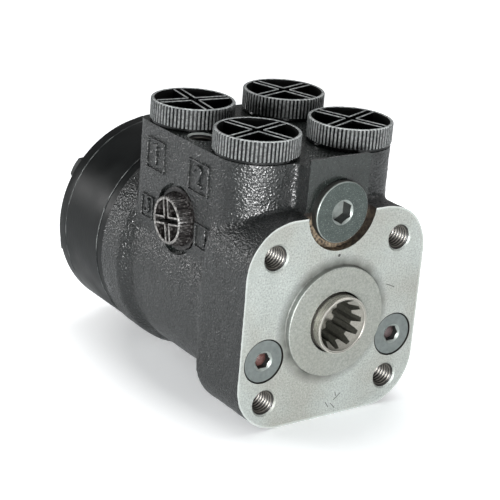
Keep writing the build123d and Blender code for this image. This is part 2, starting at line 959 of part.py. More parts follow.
def relief_poppet():
    """Poppet with a cone on the seat and a stem inside the spring."""
    cone = relief_seat_r + 0.8
    head_front = relief_seat_y - poppet_flange
    return turned(
        [
            (0, relief_seat_y + 0.6),
            (relief_seat_r - 0.2, relief_seat_y - 0.02),
            (cone, relief_seat_y - 0.02),
            (poppet_flange_r, relief_seat_y - 0.8),
            (poppet_flange_r, head_front),
            (poppet_stem_r, head_front),
            (poppet_stem_r, head_front - poppet_length + poppet_flange),
            (0, head_front - poppet_length + poppet_flange),
        ],
        0,
        relief_z,
    )


def relief_spring():
    front = relief_adjuster_front + adjuster_length
    return coil(poppet_stem_r + 1.6, front, relief_seat_y - poppet_flange, 0, relief_z)


def shock_plug(side):
    """Flush plug with a hexagon socket over one shock valve."""
    x = side * shock_x
    head_rear = shock_sunk + shock_head_length
    body = rod(shock_head_r, shock_sunk, head_rear, x, shock_z)
    body = body + rod(shock_stem_r, head_rear, shock_stem_rear, x, shock_z)
    hexagon = Pos(x, shock_z) * RegularPolygon(shock_hex / 2, 6, major_radius=False)
    mouth_r = shock_hex / 2 * 1.15
    mouth = turned([(0, shock_sunk), (mouth_r, shock_sunk), (0, shock_sunk + mouth_r * 0.6)], x, shock_z)
    return body - prism(hexagon, shock_sunk, shock_sunk + shock_hex_depth) - mouth


def shock_seal(side):
    head_rear = shock_sunk + shock_head_length
    x = side * shock_x
    return tube(shock_head_r, shock_stem_r + valve_fit, head_rear, shock_stem_front, x, shock_z)


def shock_adjuster(side):
    front = shock_stem_rear + 1.0
    rear = front + shock_adjuster_length
    radius = shock_cavity_r - valve_fit
    x = side * shock_x
    return socket_set_screw(radius, shock_adjuster_hex, front, rear, 3.0, x, shock_z)


def shock_ball(side):
    return Pos(side * shock_x, shock_ball_y, shock_z) * Sphere(shock_ball_r)


def shock_spring(side):
    front = shock_stem_rear + 1.0 + shock_adjuster_length
    rear = shock_ball_y - shock_ball_r * 0.8
    return coil(shock_ball_r - 0.4, front, rear, side * shock_x, shock_z)


def check_ball():
    x, y = port_places()[2]
    seat = math.sqrt(check_ball_r**2 - check_seat_r**2)
    rest = check_ball_z - math.sqrt(check_bore_r**2 - check_seat_r**2)
    return Pos(x, y, rest + seat) * Sphere(check_ball_r)


def check_bush():
    x, y = port_places()[2]
    body = post(check_bore_r - valve_fit, bush_z, bush_z + bush_length, x, y)
    return body - post(bush_hole_r, bush_z, bush_z + bush_length, x, y)


def suction_ball(index):
    x, z = suction_places()[index]
    lift = math.sqrt(suction_ball_r**2 - suction_seat_r**2)
    return Pos(x, suction_bore_front + lift, z) * Sphere(suction_ball_r)


def suction_pin(x, z):
    """Rolled pin that keeps a suction ball in its bore."""
    outer = suction_bore_r - valve_fit
    return tube(outer, outer - suction_pin_wall, suction_pin_front, suction_pin_rear, x, z)


def port_cap(x, y, turn):
    """Knurled cap with a hollow stem, standing in a port."""
    lip_bottom = port_block_top + cap_seat_gap
    stem_bottom = port_block_top - port_depth + port_stem_room
    body = Pos(0, 0, cap_knurl_bottom) * extrude(
        knurled(cap_r, cap_rib_height, cap_ribs), amount=cap_top - cap_knurl_bottom
    )
    body = body + post(cap_lip_r, lip_bottom, cap_knurl_bottom, 0, 0)
    body = body + post(cap_stem_r, stem_bottom, lip_bottom, 0, 0)
    body = body - post(cap_stem_r - cap_stem_wall, stem_bottom, lip_bottom, 0, 0)
    pocket_r = cap_r - cap_rib_height - cap_wall
    pockets = cross_pockets(pocket_r, cap_cross_pitch, cap_cross_rib, cap_centre_gap, cap_pocket_depth)
    body = body - Pos(0, 0, cap_top - cap_pocket_depth) * Rot(0, 0, turn) * pockets
    return Pos(x, y, 0) * body


def side_cap():
    """Smaller cap with a tapered knurl, built upright and laid over to -X."""
    knurl = knurled(side_cap_base_r, side_cap_rib_height, side_cap_ribs)
    seat = side_spot_depth - cap_seat_gap
    rise = side_cap_height + seat - side_cap_lip
    taper = math.degrees(math.atan((side_cap_base_r - side_cap_tip_r) / rise))
    body = Pos(0, 0, side_cap_lip) * extrude(knurl, amount=rise, taper=taper)
    body = body + post(side_cap_lip_r, 0, side_cap_lip, 0, 0)
    stem = post(side_cap_stem_r, -side_cap_stem_length, 0, 0, 0)
    hollow = post(side_cap_stem_r - side_cap_stem_wall, -side_cap_stem_length, 0, 0, 0)
    top = side_cap_lip + rise
    pockets = cross_pockets(
        side_cap_tip_r - side_cap_rib_height - side_cap_wall,
        side_cap_cross_pitch,
        side_cap_cross_rib,
        side_cap_cross_pitch / 2,
        side_cap_pocket_depth,
    )
    body = body + stem - hollow
    body = body - Pos(0, 0, top - side_cap_pocket_depth) * Rot(0, 0, side_cap_turn) * pockets
    seat_x = -port_block_half + side_spot_depth - cap_seat_gap
    return Pos(seat_x, side_port_y, side_port_z) * Rot(0, -90, 0) * body


def save(shape, node):
    export_step(shape, f"parts/{node}.step")


def save_screws():
    """Six plain cover screws, the seventh with its pin, and all their washers."""
    places = [polar(screw_circle_r, angle) for angle in screw_angles()]
    plain = [hex_screw(x, z, 17.0 * index) for index, (x, z) in enumerate(places[1:])]
    save(Compound(children=plain), "cover_screws")
    save(hex_screw(*places[0], 26.0), "pin_screw")
    save(Compound(children=[washer(x, z) for x, z in places]), "screw_washers")


def save_caps():
    names = ("front_left", "rear_left", "front_right", "rear_right")
    for name, (x, y), turn in zip(names, port_places(), cap_turns):
        save(port_cap(x, y, turn), f"port_cap_{name}")
    save(side_cap(), "side_port_cap")


def save_valves():
    save(relief_plug(), "relief_plug")
    save(relief_seal_ring(), "relief_seal_ring")
    save(relief_adjuster(), "relief_adjuster")
    save(relief_spring(), "relief_spring")
    save(relief_poppet(), "relief_poppet")
    for name, side in (("left", -1), ("right", 1)):
        save(shock_plug(side), f"shock_plug_{name}")
        save(shock_spring(side), f"shock_spring_{name}")
        save(shock_ball(side), f"shock_ball_{name}")
    save(Compound(children=[shock_seal(-1), shock_seal(1)]), "shock_seals")
    save(Compound(children=[shock_adjuster(-1), shock_adjuster(1)]), "shock_adjusters")
    save(check_ball(), "check_ball")
    save(check_bush(), "check_bush")
    for index, name in enumerate(("upper", "lower")):
        save(suction_ball(index), f"suction_ball_{name}")
    save(Compound(children=[suction_pin(x, z) for x, z in suction_places()]), "suction_pins")


def save_valve_set():
    save(dust_seal(), "dust_seal")
    save(shaft_seal(), "shaft_seal")
    save(thrust_race_front(), "thrust_race_front")
    save(needle_cage(), "needle_cage")
    save(thrust_race_rear(), "thrust_race_rear")
    save(sleeve(), "valve_sleeve")
    save(spool(), "valve_spool")
    save(centring_springs(), "centring_springs")
    save(spring_ring(), "spring_ring")
    save(cross_pin(), "cross_pin")
    save(cardan_shaft(), "cardan_shaft")


def save_gear_set():
    save(distributor_plate(), "distributor_plate")
    save(gear_ring(), "gear_ring")
    save(rotor(), "rotor")
    save(drive_spacer(), "drive_spacer")
    save(end_cover(), "end_cover")
    groove_mid = oring_depth / 2
    save(oring(housing_length - groove_mid), "o_ring_housing")
    save(oring(ring_gear_front + groove_mid), "o_ring_plate")
    save(oring(cover_front - groove_mid), "o_ring_cover")


os.makedirs("parts", exist_ok=True)
save(housing(), "housing")
save_valve_set()
save_gear_set()
save_screws()
save_valves()
save_caps()
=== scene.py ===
import math

import bmesh
import bpy
from mathutils import Matrix, Vector, noise


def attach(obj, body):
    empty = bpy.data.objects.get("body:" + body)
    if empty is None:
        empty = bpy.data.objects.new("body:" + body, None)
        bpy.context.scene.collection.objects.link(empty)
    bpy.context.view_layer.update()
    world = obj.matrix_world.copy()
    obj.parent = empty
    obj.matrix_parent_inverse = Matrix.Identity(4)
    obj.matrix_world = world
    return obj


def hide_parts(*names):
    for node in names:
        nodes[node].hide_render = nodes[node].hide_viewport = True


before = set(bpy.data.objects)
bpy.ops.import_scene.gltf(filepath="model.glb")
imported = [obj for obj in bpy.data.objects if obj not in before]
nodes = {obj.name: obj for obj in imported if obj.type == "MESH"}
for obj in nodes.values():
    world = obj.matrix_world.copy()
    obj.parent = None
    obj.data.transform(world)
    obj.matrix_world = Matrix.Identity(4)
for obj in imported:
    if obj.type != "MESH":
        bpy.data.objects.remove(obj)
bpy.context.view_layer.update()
MM = 0.001

# Housing: one grey-iron sand casting, sprayed satin black after its faces were milled and bored.
# The skin is the mould's: lumpy, gritty and round at every edge. The milled faces are flat and
# crisp, and the flange face was wiped bare, so the paint stops at its edge.


def ink(code):
    """Linear colour of an sRGB hex code."""
    linear = []
    for digits in (1, 3, 5):
        part = int(code[digits : digits + 2], 16) / 255
        linear.append(part / 12.92 if part <= 0.04045 else ((part + 0.055) / 1.055) ** 2.4)
    return (*linear, 1.0)


def plug_in(tree, node, sockets):
    """Sets each socket to a value, or to an sRGB colour, or links it to another node's output."""
    for name, value in sockets.items():
        if isinstance(value, bpy.types.NodeSocket):
            tree.links.new(value, node.inputs[name])
        else:
            node.inputs[name].default_value = ink(value) if isinstance(value, str) else value


# Settings and socket numbers that recur. A Map Range reads from 1 to 2 and gives from 3 to 4.
COLOURS = {"data_type": "RGBA"}
DARK, PALE, MIXED = 6, 7, 2
TIMES = {"operation": "MULTIPLY"}


def add(tree, kind, settings, sockets, out=0):
    """Adds one node with its settings and links, and hands back one of its outputs."""
    made = tree.nodes.new(kind if "Node" in kind else "ShaderNode" + kind)
    for name, value in settings.items():
        setattr(made, name, value)
    plug_in(tree, made, sockets)
    return made.outputs[out]


def surface(name):
    """A new material, its shader, and the object's own coordinates in metres."""
    look = bpy.data.materials.new(name)
    look.use_nodes = True
    place = add(look.node_tree, "TexCoord", {}, {}, "Object")
    return look, look.node_tree, look.node_tree.nodes["Principled BSDF"], place


# The paint over the casting: sand grains, drawn coarse at 0.9 mm so that each shows its own
# glint, on lumps of 5 mm, and every grain's top a little paler than its hollow: painted shade in
# the hollows.
cast_paint, tree, shader, place = surface("satin black paint on sand-cast iron")
lumps = add(tree, "TexNoise", {}, {"Vector": place, "Scale": 1 / (5 * MM), "Detail": 2.0})
fine = {"Vector": place, "Scale": 1 / (0.9 * MM), "Detail": 1.0, "Roughness": 0.5}
sand = add(tree, "TexNoise", {}, fine)
tint = add(tree, "Mix", COLOURS, {"Factor": lumps, DARK: "#060808", PALE: "#141717"}, MIXED)
# Painted shade: the grain's hollows stay darker and its tops turn paler.
high = add(tree, "MapRange", {}, {0: sand, 1: 0.5, 2: 0.72, 3: 0.0, 4: 0.5})
tint = add(tree, "Mix", COLOURS, {"Factor": high, DARK: tint, PALE: "#2a2e2e"}, MIXED)
bump = add(tree, "Bump", {}, {"Height": lumps, "Distance": 0.7 * MM, "Strength": 0.6})
grains = {"Height": sand, "Distance": 0.65 * MM, "Strength": 0.8, "Normal": bump}
bump = add(tree, "Bump", {}, grains)
gloss = add(tree, "MapRange", {}, {0: sand, 1: 0.38, 2: 0.6, 3: 0.55, 4: 0.18})
plug_in(tree, shader, {"Base Color": tint, "Normal": bump, "Roughness": gloss})
plug_in(tree, shader, {"Coat Weight": 0.85, "Coat Roughness": 0.36, "Coat Normal": bump})

# The same paint where the cutter went first is smooth, so it mirrors the caps and the sky.
milled_paint, tree, shader, place = surface("satin black paint on milled iron")
film = add(tree, "TexNoise", {}, {"Vector": place, "Scale": 1 / (1.4 * MM), "Detail": 3.0})
cloud = add(tree, "TexNoise", {}, {"Vector": place, "Scale": 1 / (9 * MM), "Detail": 2.0})
tint = add(tree, "Mix", COLOURS, {"Factor": cloud, DARK: "#0e1110", PALE: "#2f3432"}, MIXED)
bump = add(tree, "Bump", {}, {"Height": film, "Distance": 0.1 * MM, "Strength": 0.8})
gloss = add(tree, "MapRange", {}, {0: film, 1: 0.3, 2: 0.7, 3: 0.2, 4: 0.34})
plug_in(tree, shader, {"Base Color": tint, "Normal": bump, "Roughness": gloss})
plug_in(tree, shader, {"Coat Weight": 0.5, "Coat Roughness": 0.1})

# Bare milled iron of the flange face: light satin grey, finely pitted, with a paler line all
# round its edge that is a painted highlight standing for a chamfer, and a ring of grime at the
# pilot's foot.
bare_iron, tree, shader, place = surface("bare milled grey iron")
flat = add(tree, "VectorMath", TIMES, {0: place, 1: (1, 0, 1)})
reach = add(tree, "VectorMath", {"operation": "LENGTH"}, {0: flat}, "Value")
foot = add(tree, "MapRange", {}, {0: reach, 1: 22.4 * MM, 2: 27.0 * MM, 3: 1.0, 4: 0.0})
past = add(tree, "MapRange", {}, {0: reach, 1: 22.1 * MM, 2: 22.25 * MM})
cloud = add(tree, "TexNoise", {}, {"Vector": place, "Scale": 1 / (7 * MM), "Detail": 4.0})
smear = add(tree, "MapRange", {}, {0: cloud, 1: 0.3, 2: 0.62, 3: 0.45, 4: 1.0})
foot = add(tree, "Math", TIMES, {0: foot, 1: past})
foot = add(tree, "Math", TIMES, {0: foot, 1: smear})
tint = add(tree, "Mix", COLOURS, {"Factor": cloud, DARK: "#a9afab", PALE: "#cbd1cd"}, MIXED)
film = add(tree, "TexNoise", {}, {"Vector": place, "Scale": 1 / (30 * MM), "Detail": 3.0})
film = add(tree, "MapRange", {}, {0: film, 1: 0.42, 2: 0.62, 3: 0.0, 4: 0.7})
tint = add(tree, "Mix", COLOURS, {"Factor": film, DARK: tint, PALE: "#a5a49b"}, MIXED)
boss = add(tree, "MapRange", {}, {0: reach, 1: 22.2 * MM, 2: 21.9 * MM, 3: 0.0, 4: 0.75})
tint = add(tree, "Mix", COLOURS, {"Factor": boss, DARK: tint, PALE: "#94968e"}, MIXED)
tint = add(tree, "Mix", COLOURS, {"Factor": foot, DARK: tint, PALE: "#3d3c36"}, MIXED)
fine = {"Vector": place, "Scale": 1 / (0.7 * MM), "Detail": 4.0, "Roughness": 0.7}
grain = add(tree, "TexNoise", {}, fine)
pits = add(tree, "MapRange", {}, {0: grain, 1: 0.3, 2: 0.65, 3: 0.8, 4: 0.0})
tint = add(tree, "Mix", COLOURS, {"Factor": pits, DARK: tint, PALE: "#6f736f"}, MIXED)
inset = add(tree, "VectorMath", {"operation": "SUBTRACT"}, {0: flat, 1: (0, 0, 1 * MM)})
inset = add(tree, "VectorMath", {"operation": "ABSOLUTE"}, {0: inset})
half = (21.8 * MM, 0, 21.6 * MM)
inset = add(tree, "VectorMath", {"operation": "SUBTRACT"}, {0: inset, 1: half})
inset = add(tree, "VectorMath", {"operation": "MAXIMUM"}, {0: inset, 1: (0, 0, 0)})
inset = add(tree, "VectorMath", {"operation": "LENGTH"}, {0: inset}, "Value")
# Painted highlight: a paler line just inside the face's outline, where a chamfer would catch the
# light.
edge_highlight = add(tree, "MapRange", {}, {0: inset, 1: 19.3 * MM, 2: 19.9 * MM, 3: 0.0, 4: 0.6})
tint = add(tree, "Mix", COLOURS, {"Factor": edge_highlight, DARK: tint, PALE: "#d3d8d5"}, MIXED)
bump = add(tree, "Bump", {}, {"Height": grain, "Distance": 0.1 * MM, "Strength": 0.8})
gloss = add(tree, "MapRange", {}, {0: grain, 1: 0.3, 2: 0.7, 3: 0.4, 4: 0.6})
plug_in(tree, shader, {"Base Color": tint, "Normal": bump, "Roughness": gloss, "Metallic": 0.45})

# Tapped and bored walls: the crests are bright steel grey; the grooves and the depths of the
# holes are painted near black as shade.
bore_wall, tree, shader, place = surface("bored iron")
film = add(tree, "TexNoise", {}, {"Vector": place, "Scale": 1 / (1.2 * MM), "Detail": 3.0})
tint = add(tree, "Mix", COLOURS, {"Factor": film, DARK: "#524f4a", PALE: "#7e7b74"}, MIXED)
plug_in(tree, shader, {"Base Color": tint, "Roughness": 0.36, "Metallic": 0.5})
shaded_wall, tree, shader, place = surface("painted shade in grooves and holes")
film = add(tree, "TexNoise", {}, {"Vector": place, "Scale": 1 / (1.2 * MM), "Detail": 3.0})
tint = add(tree, "Mix", COLOURS, {"Factor": film, DARK: "#0f0e0d", PALE: "#2b2926"}, MIXED)
plug_in(tree, shader, {"Base Color": tint, "Roughness": 0.4})

# The notch's wall was left raw by the cutter and has a thin brown bloom of rust.
rusty_wall, tree, shader, place = surface("milled iron with rust bloom")
bloom = add(tree, "TexNoise", {}, {"Vector": place, "Scale": 1 / (1.3 * MM), "Detail": 5.0})
share = add(tree, "MapRange", {}, {0: bloom, 1: 0.38, 2: 0.62})
side = add(tree, "SeparateXYZ", {}, {0: place}, "X")
side = add(tree, "MapRange", {}, {0: side, 1: 8 * MM, 2: -4 * MM, 3: 0.15, 4: 1.2})
low = add(tree, "SeparateXYZ", {}, {0: place}, "Z")
low = add(tree, "MapRange", {}, {0: low, 1: 42.5 * MM, 2: 40.5 * MM})
share = add(tree, "Math", TIMES, {0: share, 1: side})
share = add(tree, "Math", TIMES, {0: share, 1: low})
tint = add(tree, "Mix", COLOURS, {"Factor": share, DARK: "#231e1a", PALE: "#8d7e69"}, MIXED)
bump = add(tree, "Bump", {}, {"Height": bloom, "Distance": 0.1 * MM, "Strength": 0.8})
plug_in(tree, shader, {"Base Color": tint, "Normal": bump, "Roughness": 0.6, "Metallic": 0.2})

# Sizes in millimetres that more than one piece shares.
PORT_FACE = 60.7
REAR_FACE = 98.7
PORT_X, FRONT_ROW, REAR_ROW = 22, 28, 72
SIDE_PORT_Y, SIDE_PORT_Z = 54, 28
BOLT_AT = 29.19
RELIEF_Z = 43.1
SHOCK_X, SHOCK_Z = 31, -11.6
SCREW_COUNT, SCREW_CIRCLE, SCREW_START = 7, 34.5, 146
G_HALF = (10.48, 9.32, 1.814, 10.9, 16)
M10 = (5.0, 4.2, 1.5, 5.7)

UPRIGHT = Matrix.Identity(4)
ALONG_Y = Matrix.Rotation(math.radians(-90), 4, "X")
TO_LEFT = Matrix.Rotation(math.radians(-90), 4, "Y")


def piece(name, bm, looks, frame_of=UPRIGHT, at=(0, 0, 0), smooth=35, outward=False):
    """Closes a bmesh drawn in millimetres into an object of the row, its normals outwards."""
    bmesh.ops.remove_doubles(bm, verts=bm.verts, dist=1e-4)
    if not outward:
        bmesh.ops.recalc_face_normals(bm, faces=bm.faces)
    to_row = Matrix.Scale(MM, 4) @ Matrix.Translation(at) @ frame_of
    bmesh.ops.transform(bm, matrix=to_row, verts=bm.verts)
    mesh = bpy.data.meshes.new(name)
    bm.to_mesh(mesh)
    bm.free()
    for look in looks:
        mesh.materials.append(look)
    made = bpy.data.objects.new(name, mesh)
    bpy.context.scene.collection.objects.link(made)
    soften(made, smooth)
    return made


def soften(made, angle):
    """Smooth shading, with edges over the angle left sharp."""
    made.data.shade_smooth()
    made.data.set_sharp_from_angle(angle=math.radians(angle))


def turn(bm, corners, steps=96):
    """Adds a body of revolution about Z from (radius, height, look of the side after it)."""
    rings = []
    for radius, height, _ in corners:
        if radius < 1e-6:
            rings.append([bm.verts.new((0, 0, height))])
            continue
        ring = []
        for step in range(steps):
            angle = 2 * math.pi * step / steps
            point = (radius * math.cos(angle), radius * math.sin(angle), height)
            ring.append(bm.verts.new(point))
        rings.append(ring)
    for index, first in enumerate(rings):
        second = rings[(index + 1) % len(rings)]
        if len(first) == 1 and len(second) == 1:
            continue
        for step in range(steps):
            after = (step + 1) % steps
            corner = [first[step % len(first)], first[after % len(first)]]
            corner += [second[after % len(second)], second[step % len(second)]]
            face = bm.faces.new(list(dict.fromkeys(corner)))
            face.material_index = corners[index][2]
    return bm


def thread(radius, minor, pitch, mouth, depth, top):
    """Corners of a tapped hole going down from top: countersink, ridges, drill point."""
    lip = top + 0.03  # just past the milled plane, so no two edges lie in one place
    corners = [(0, top + 9, BARE), (mouth, top + 9, BARE), (mouth, lip, BARE)]
    corners.append((radius, top - (mouth - radius), SHADED))
    down = mouth - radius + 0.3
    while down + pitch < depth:
        corners.append((radius, top - down, SHADED))
        corners.append((radius * 0.3 + minor * 0.7, top - down - pitch * 0.34, STEEL))
        corners.append((minor, top - down - pitch * 0.46, STEEL))
        corners.append((minor, top - down - pitch * 0.58, SHADED))
        down += pitch
    corners += [(radius, top - down, SHADED), (radius, top - depth, SHADED)]
    return corners + [(0, top - depth - minor / 2, SHADED)]


def settle(made):
    """Turns what the modifiers show into the piece's own plain mesh."""
    bpy.context.view_layer.update()
    shown = made.evaluated_get(bpy.context.evaluated_depsgraph_get())
    mesh = bpy.data.meshes.new_from_object(shown)
    made.modifiers.clear()
    made.data = mesh
    return made


def cut(made, *tools, how="DIFFERENCE"):
    """Takes each tool out of the piece; the new walls keep the tool's materials."""
    for tool in tools:
        step = made.modifiers.new("cut", "BOOLEAN")
        step.operation = how
        step.solver = "EXACT"
        step.material_mode = "TRANSFER"
        step.object = tool
        settle(made)
        bpy.data.objects.remove(tool)
    return made


def slab(bm, low, high):
    """Adds a plain block between two corners."""
    size = [b - a for a, b in zip(low, high)]
    middle = [(a + b) / 2 for a, b in zip(low, high)]
    place = Matrix.Translation(middle) @ Matrix.Diagonal((*size, 1))
    bmesh.ops.create_cube(bm, size=1, matrix=place)
    return bm


def prism(bm, outline, along, end=0):
    """Adds a closed outline made solid along a vector; end is the far face's look."""
    near = [bm.verts.new(point) for point in outline]
    far = [bm.verts.new(Vector(point) + Vector(along)) for point in outline]
    bm.faces.new(near)
    bm.faces.new(list(reversed(far))).material_index = end
    for index in range(len(near)):
        after = (index + 1) % len(near)
        bm.faces.new([near[index], far[index], far[after], near[after]])
    return bm


def arc(x, y, radius, start, end, count):
    """Points of an arc, its ends included; the angles are in degrees."""
    turns = [math.radians(start + (end - start) * step / (count - 1)) for step in range(count)]
    return [(x + radius * math.cos(a), y + radius * math.sin(a)) for a in turns]


def pour(own, into):
    """Moves one bmesh's faces into another."""
    store = bpy.data.meshes.new("store")
    own.to_mesh(store)
    own.free()
    into.from_mesh(store)
    bpy.data.meshes.remove(store)


FLANGE_HALF = 42.1
FLANGE_TOP = 42.9
FLANGE_FOOT = -40.9
FLANGE_CORNER = 20.3
blank = bmesh.new()
right, left = FLANGE_HALF - FLANGE_CORNER, FLANGE_CORNER - FLANGE_HALF
high, low = FLANGE_TOP - FLANGE_CORNER, FLANGE_FOOT + FLANGE_CORNER
outline = arc(right, high, FLANGE_CORNER, 0, 90, 16)
outline += arc(left, high, FLANGE_CORNER, 90, 180, 16)
outline += arc(left, low, FLANGE_CORNER, 180, 270, 16)
outline += arc(right, low, FLANGE_CORNER, 270, 360, 16)
prism(blank, [(x, -8, z) for x, z in outline], (0, 37.5, 0))
barrel = [(0, 2, 0), (41.7, 2, 0), (41.7, 78.6, 0), (40.9, 80.2, 0), (40.9, 81.4, 0)]
barrel += [(42.4, 83.6, 0), (44.2, 86.0, 0), (44.3, 88.0, 0), (44.3, 103, 0), (0, 103, 0)]
barrel = turn(bmesh.new(), barrel, 128)
bmesh.ops.transform(barrel, matrix=ALONG_Y, verts=barrel.verts)
pour(barrel, blank)
plan = arc(-PORT_X, FRONT_ROW, 16.4, 180, 275, 14)
plan += arc(PORT_X, FRONT_ROW, 16.4, 265, 360, 14)
plan += arc(33.4, 81, 5, 0, 90, 6) + arc(-33.4, 81, 5, 90, 180, 6)
prism(blank, [(x, y, 12) for x, y in plan], (0, 0, 52))
slab(blank, (-14.5, 1.0, 20), (14.1, 30, 64))
casting = piece("casting", blank, [cast_paint])

# The mould's look: everything is melted together on a 0.9 mm grid, eased, and made uneven.
melt = casting.modifiers.new("melt", "REMESH")
melt.mode = "VOXEL"
melt.voxel_size = 0.9 * MM
ease = casting.modifiers.new("ease", "SMOOTH")
ease.factor = 0.5
ease.iterations = 9
settle(casting)
skin = bmesh.new()
skin.from_mesh(casting.data)
for vert in skin.verts:
    lump = noise.fractal(vert.co * 130, 1.0, 2.0, 3) * 0.15 - 0.04
    grit = noise.noise(vert.co * 640) * 0.13
    vert.co += vert.normal * (lump + grit) * MM
skin.to_mesh(casting.data)
skin.free()

# Milling: the flange face round the pilot, the port face, the relief pad and the rear face.
front_mill = bmesh.new()
pilot = [(0, -2.5, 0), (21.9, -2.5, 0), (22.2, -2.2, 0), (22.225, -0.25, 0), (22.5, 0, 0)]
turn(front_mill, pilot + [(75, 0, 0), (75, -30, 0), (0, -30, 0)], 160)
front_mill = piece("front mill", front_mill, [bare_iron], ALONG_Y)
top_mill = slab(bmesh.new(), (-60, 5, PORT_FACE), (60, 110, 80))
top_mill = piece("top mill", top_mill, [milled_paint])
pad_mill = slab(bmesh.new(), (-17.5, -5, 43.6), (17.5, 3.9, 70))
pad_mill = piece("pad mill", pad_mill, [milled_paint])
rear_mill = slab(bmesh.new(), (-60, REAR_FACE, -60), (60, 120, 60))
rear_mill = piece("rear mill", rear_mill, [bore_wall])

# Boring and tapping: every hole that a piece or a screw goes into.
bores = bmesh.new()


def bore(tools, corners, frame_of, at, steps=64):
    """Adds one stepped bore, placed in the row and facing outwards, to the tools."""
    own = turn(bmesh.new(), corners, steps)
    if own.calc_volume(signed=True) < 0:
        bmesh.ops.reverse_faces(own, faces=own.faces)
    bmesh.ops.transform(own, matrix=Matrix.Translation(at) @ frame_of, verts=own.verts)
    pour(own, tools)


def on_circle(radius, steps):
    """Spot on a circle about the spool, so many steps of a seventh from the first screw."""
    angle = math.radians(SCREW_START + steps * 360 / SCREW_COUNT)
    return radius * math.cos(angle), 0, radius * math.sin(angle)


def steps_of(pairs, start, end):
    """Corners of a stepped bore from (radius, depth where it ends, look) pairs."""
    corners = [(0, start, pairs[0][2])]
    height = start
    for radius, until, look in pairs:
        corners += [(radius, height, look), (radius, until, look)]
        height = until
    return corners + [(0, end, pairs[-1][2])]


# The second look of the bores is near black: painted shade in the thread grooves and the holes'
# depths.
STEEL, SHADED, PAINT, BARE = 0, 1, 2, 3
main = [(12.35, 0.8, STEEL), (14.8, 3.8, SHADED), (12.35, 5.0, SHADED), (15.5, 8.6, SHADED)]
bore(bores, steps_of(main + [(19.02, 100, STEEL)], -4, 100), ALONG_Y, (0, 0, 0), 128)
relief = [(9.02, 18.5, SHADED), (7.0, 52, SHADED), (2.6, 56, SHADED)]
bore(bores, steps_of(relief, 2, 56), ALONG_Y, (0, 0, RELIEF_Z), 90)
shock = [(9.0, 6.35, SHADED), (7.02, 14.35, SHADED), (5.0, 42, SHADED), (2.0, 48, SHADED)]
for x in (-SHOCK_X, SHOCK_X):
    bore(bores, steps_of(shock, -1, 48), ALONG_Y, (x, 0, SHOCK_Z))
into_flange = Matrix.Rotation(math.radians(90), 4, "X")
for x in (-BOLT_AT, BOLT_AT):
    for z in (-BOLT_AT, BOLT_AT):
        bore(bores, thread(*M10, 18, 0), into_flange, (x, 0, z))
for x, y in ((-PORT_X, FRONT_ROW), (-PORT_X, REAR_ROW), (PORT_X, REAR_ROW)):
    bore(bores, thread(*G_HALF, PORT_FACE), UPRIGHT, (x, y, 0), 80)
port = thread(*G_HALF, PORT_FACE)[:-1]
port += [(5.0, 44.7, SHADED), (5.0, 29, SHADED), (3.0, 26, SHADED), (3.0, 22, SHADED), (0, 22, SHADED)]
bore(bores, port, UPRIGHT, (PORT_X, FRONT_ROW, 0), 80)
for x in (-30, 30):
    bore(bores, thread(*M10, 14, PORT_FACE), UPRIGHT, (x, 52.5, 0))
side = thread(6.58, 5.72, 1.337, 6.9, 11, 36.5)
side = [(0, 42, PAINT), (14.0, 42, PAINT), (14.0, 36.5, PAINT)] + side[2:]
bore(bores, side, TO_LEFT, (0, SIDE_PORT_Y, SIDE_PORT_Z))
for steps in (0.5, 3.5):
    suction = steps_of([(1.6, 84, SHADED), (3.0, 100, SHADED)], 78, 100)
    bore(bores, suction, ALONG_Y, on_circle(24, steps), 32)
for steps in range(SCREW_COUNT):
    screw_hole = steps_of([(4.02, 100, SHADED)], 79.7, 100)
    bore(bores, screw_hole, ALONG_Y, on_circle(SCREW_CIRCLE, steps), 32)
looks = [bore_wall, shaded_wall, milled_paint, bare_iron]
bores = piece("bores", bores, looks, outward=True)
notch = turn(bmesh.new(), [(0, -1, 0), (16, -1, 0), (16, 3.88, 0), (0, 3.88, 0)], 128)
notch = piece("notch tool", notch, [rusty_wall], ALONG_Y, (0, 0, 44.2))

# A punch mark under the notch, and a few scratches that handling left in the flange face; both
# are lined with the near-black painted shade of the grooves.
scores = turn(bmesh.new(), [(0, -1, 0), (0.6, -1, 0), (0.6, 0, 0), (0, 0.5, 0)], 24)
punch = Matrix.Translation((0.1, 0, 26.2)) @ ALONG_Y
bmesh.ops.transform(scores, matrix=punch, verts=scores.verts)
for x, z, to_x, to_z in (
    (25.0, 10.6, 29.3, 8.7),
    (4.5, -34.8, 7.6, -32.3),
    (0.5, -34.9, 2.3, -37.4),
    (3.1, -35.9, 5.4, -38.3),
    (4.9, -31.4, 5.5, -33.2),
):
    start, end = Vector((x, -0.5, z)), Vector((to_x, -0.5, to_z))
    across = Vector((z - to_z, 0, to_x - x)).normalized() * 0.13
    prism(scores, [start - across, end - across, end + across, start + across], (0, 0.62, 0))
scores = piece("score tool", scores, [shaded_wall])
cut(casting, notch, bores, front_mill, top_mill, pad_mill, rear_mill, scores)
soften(casting, 40)
casting.name = "housing_casting"
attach(casting, "housing")
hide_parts("housing")

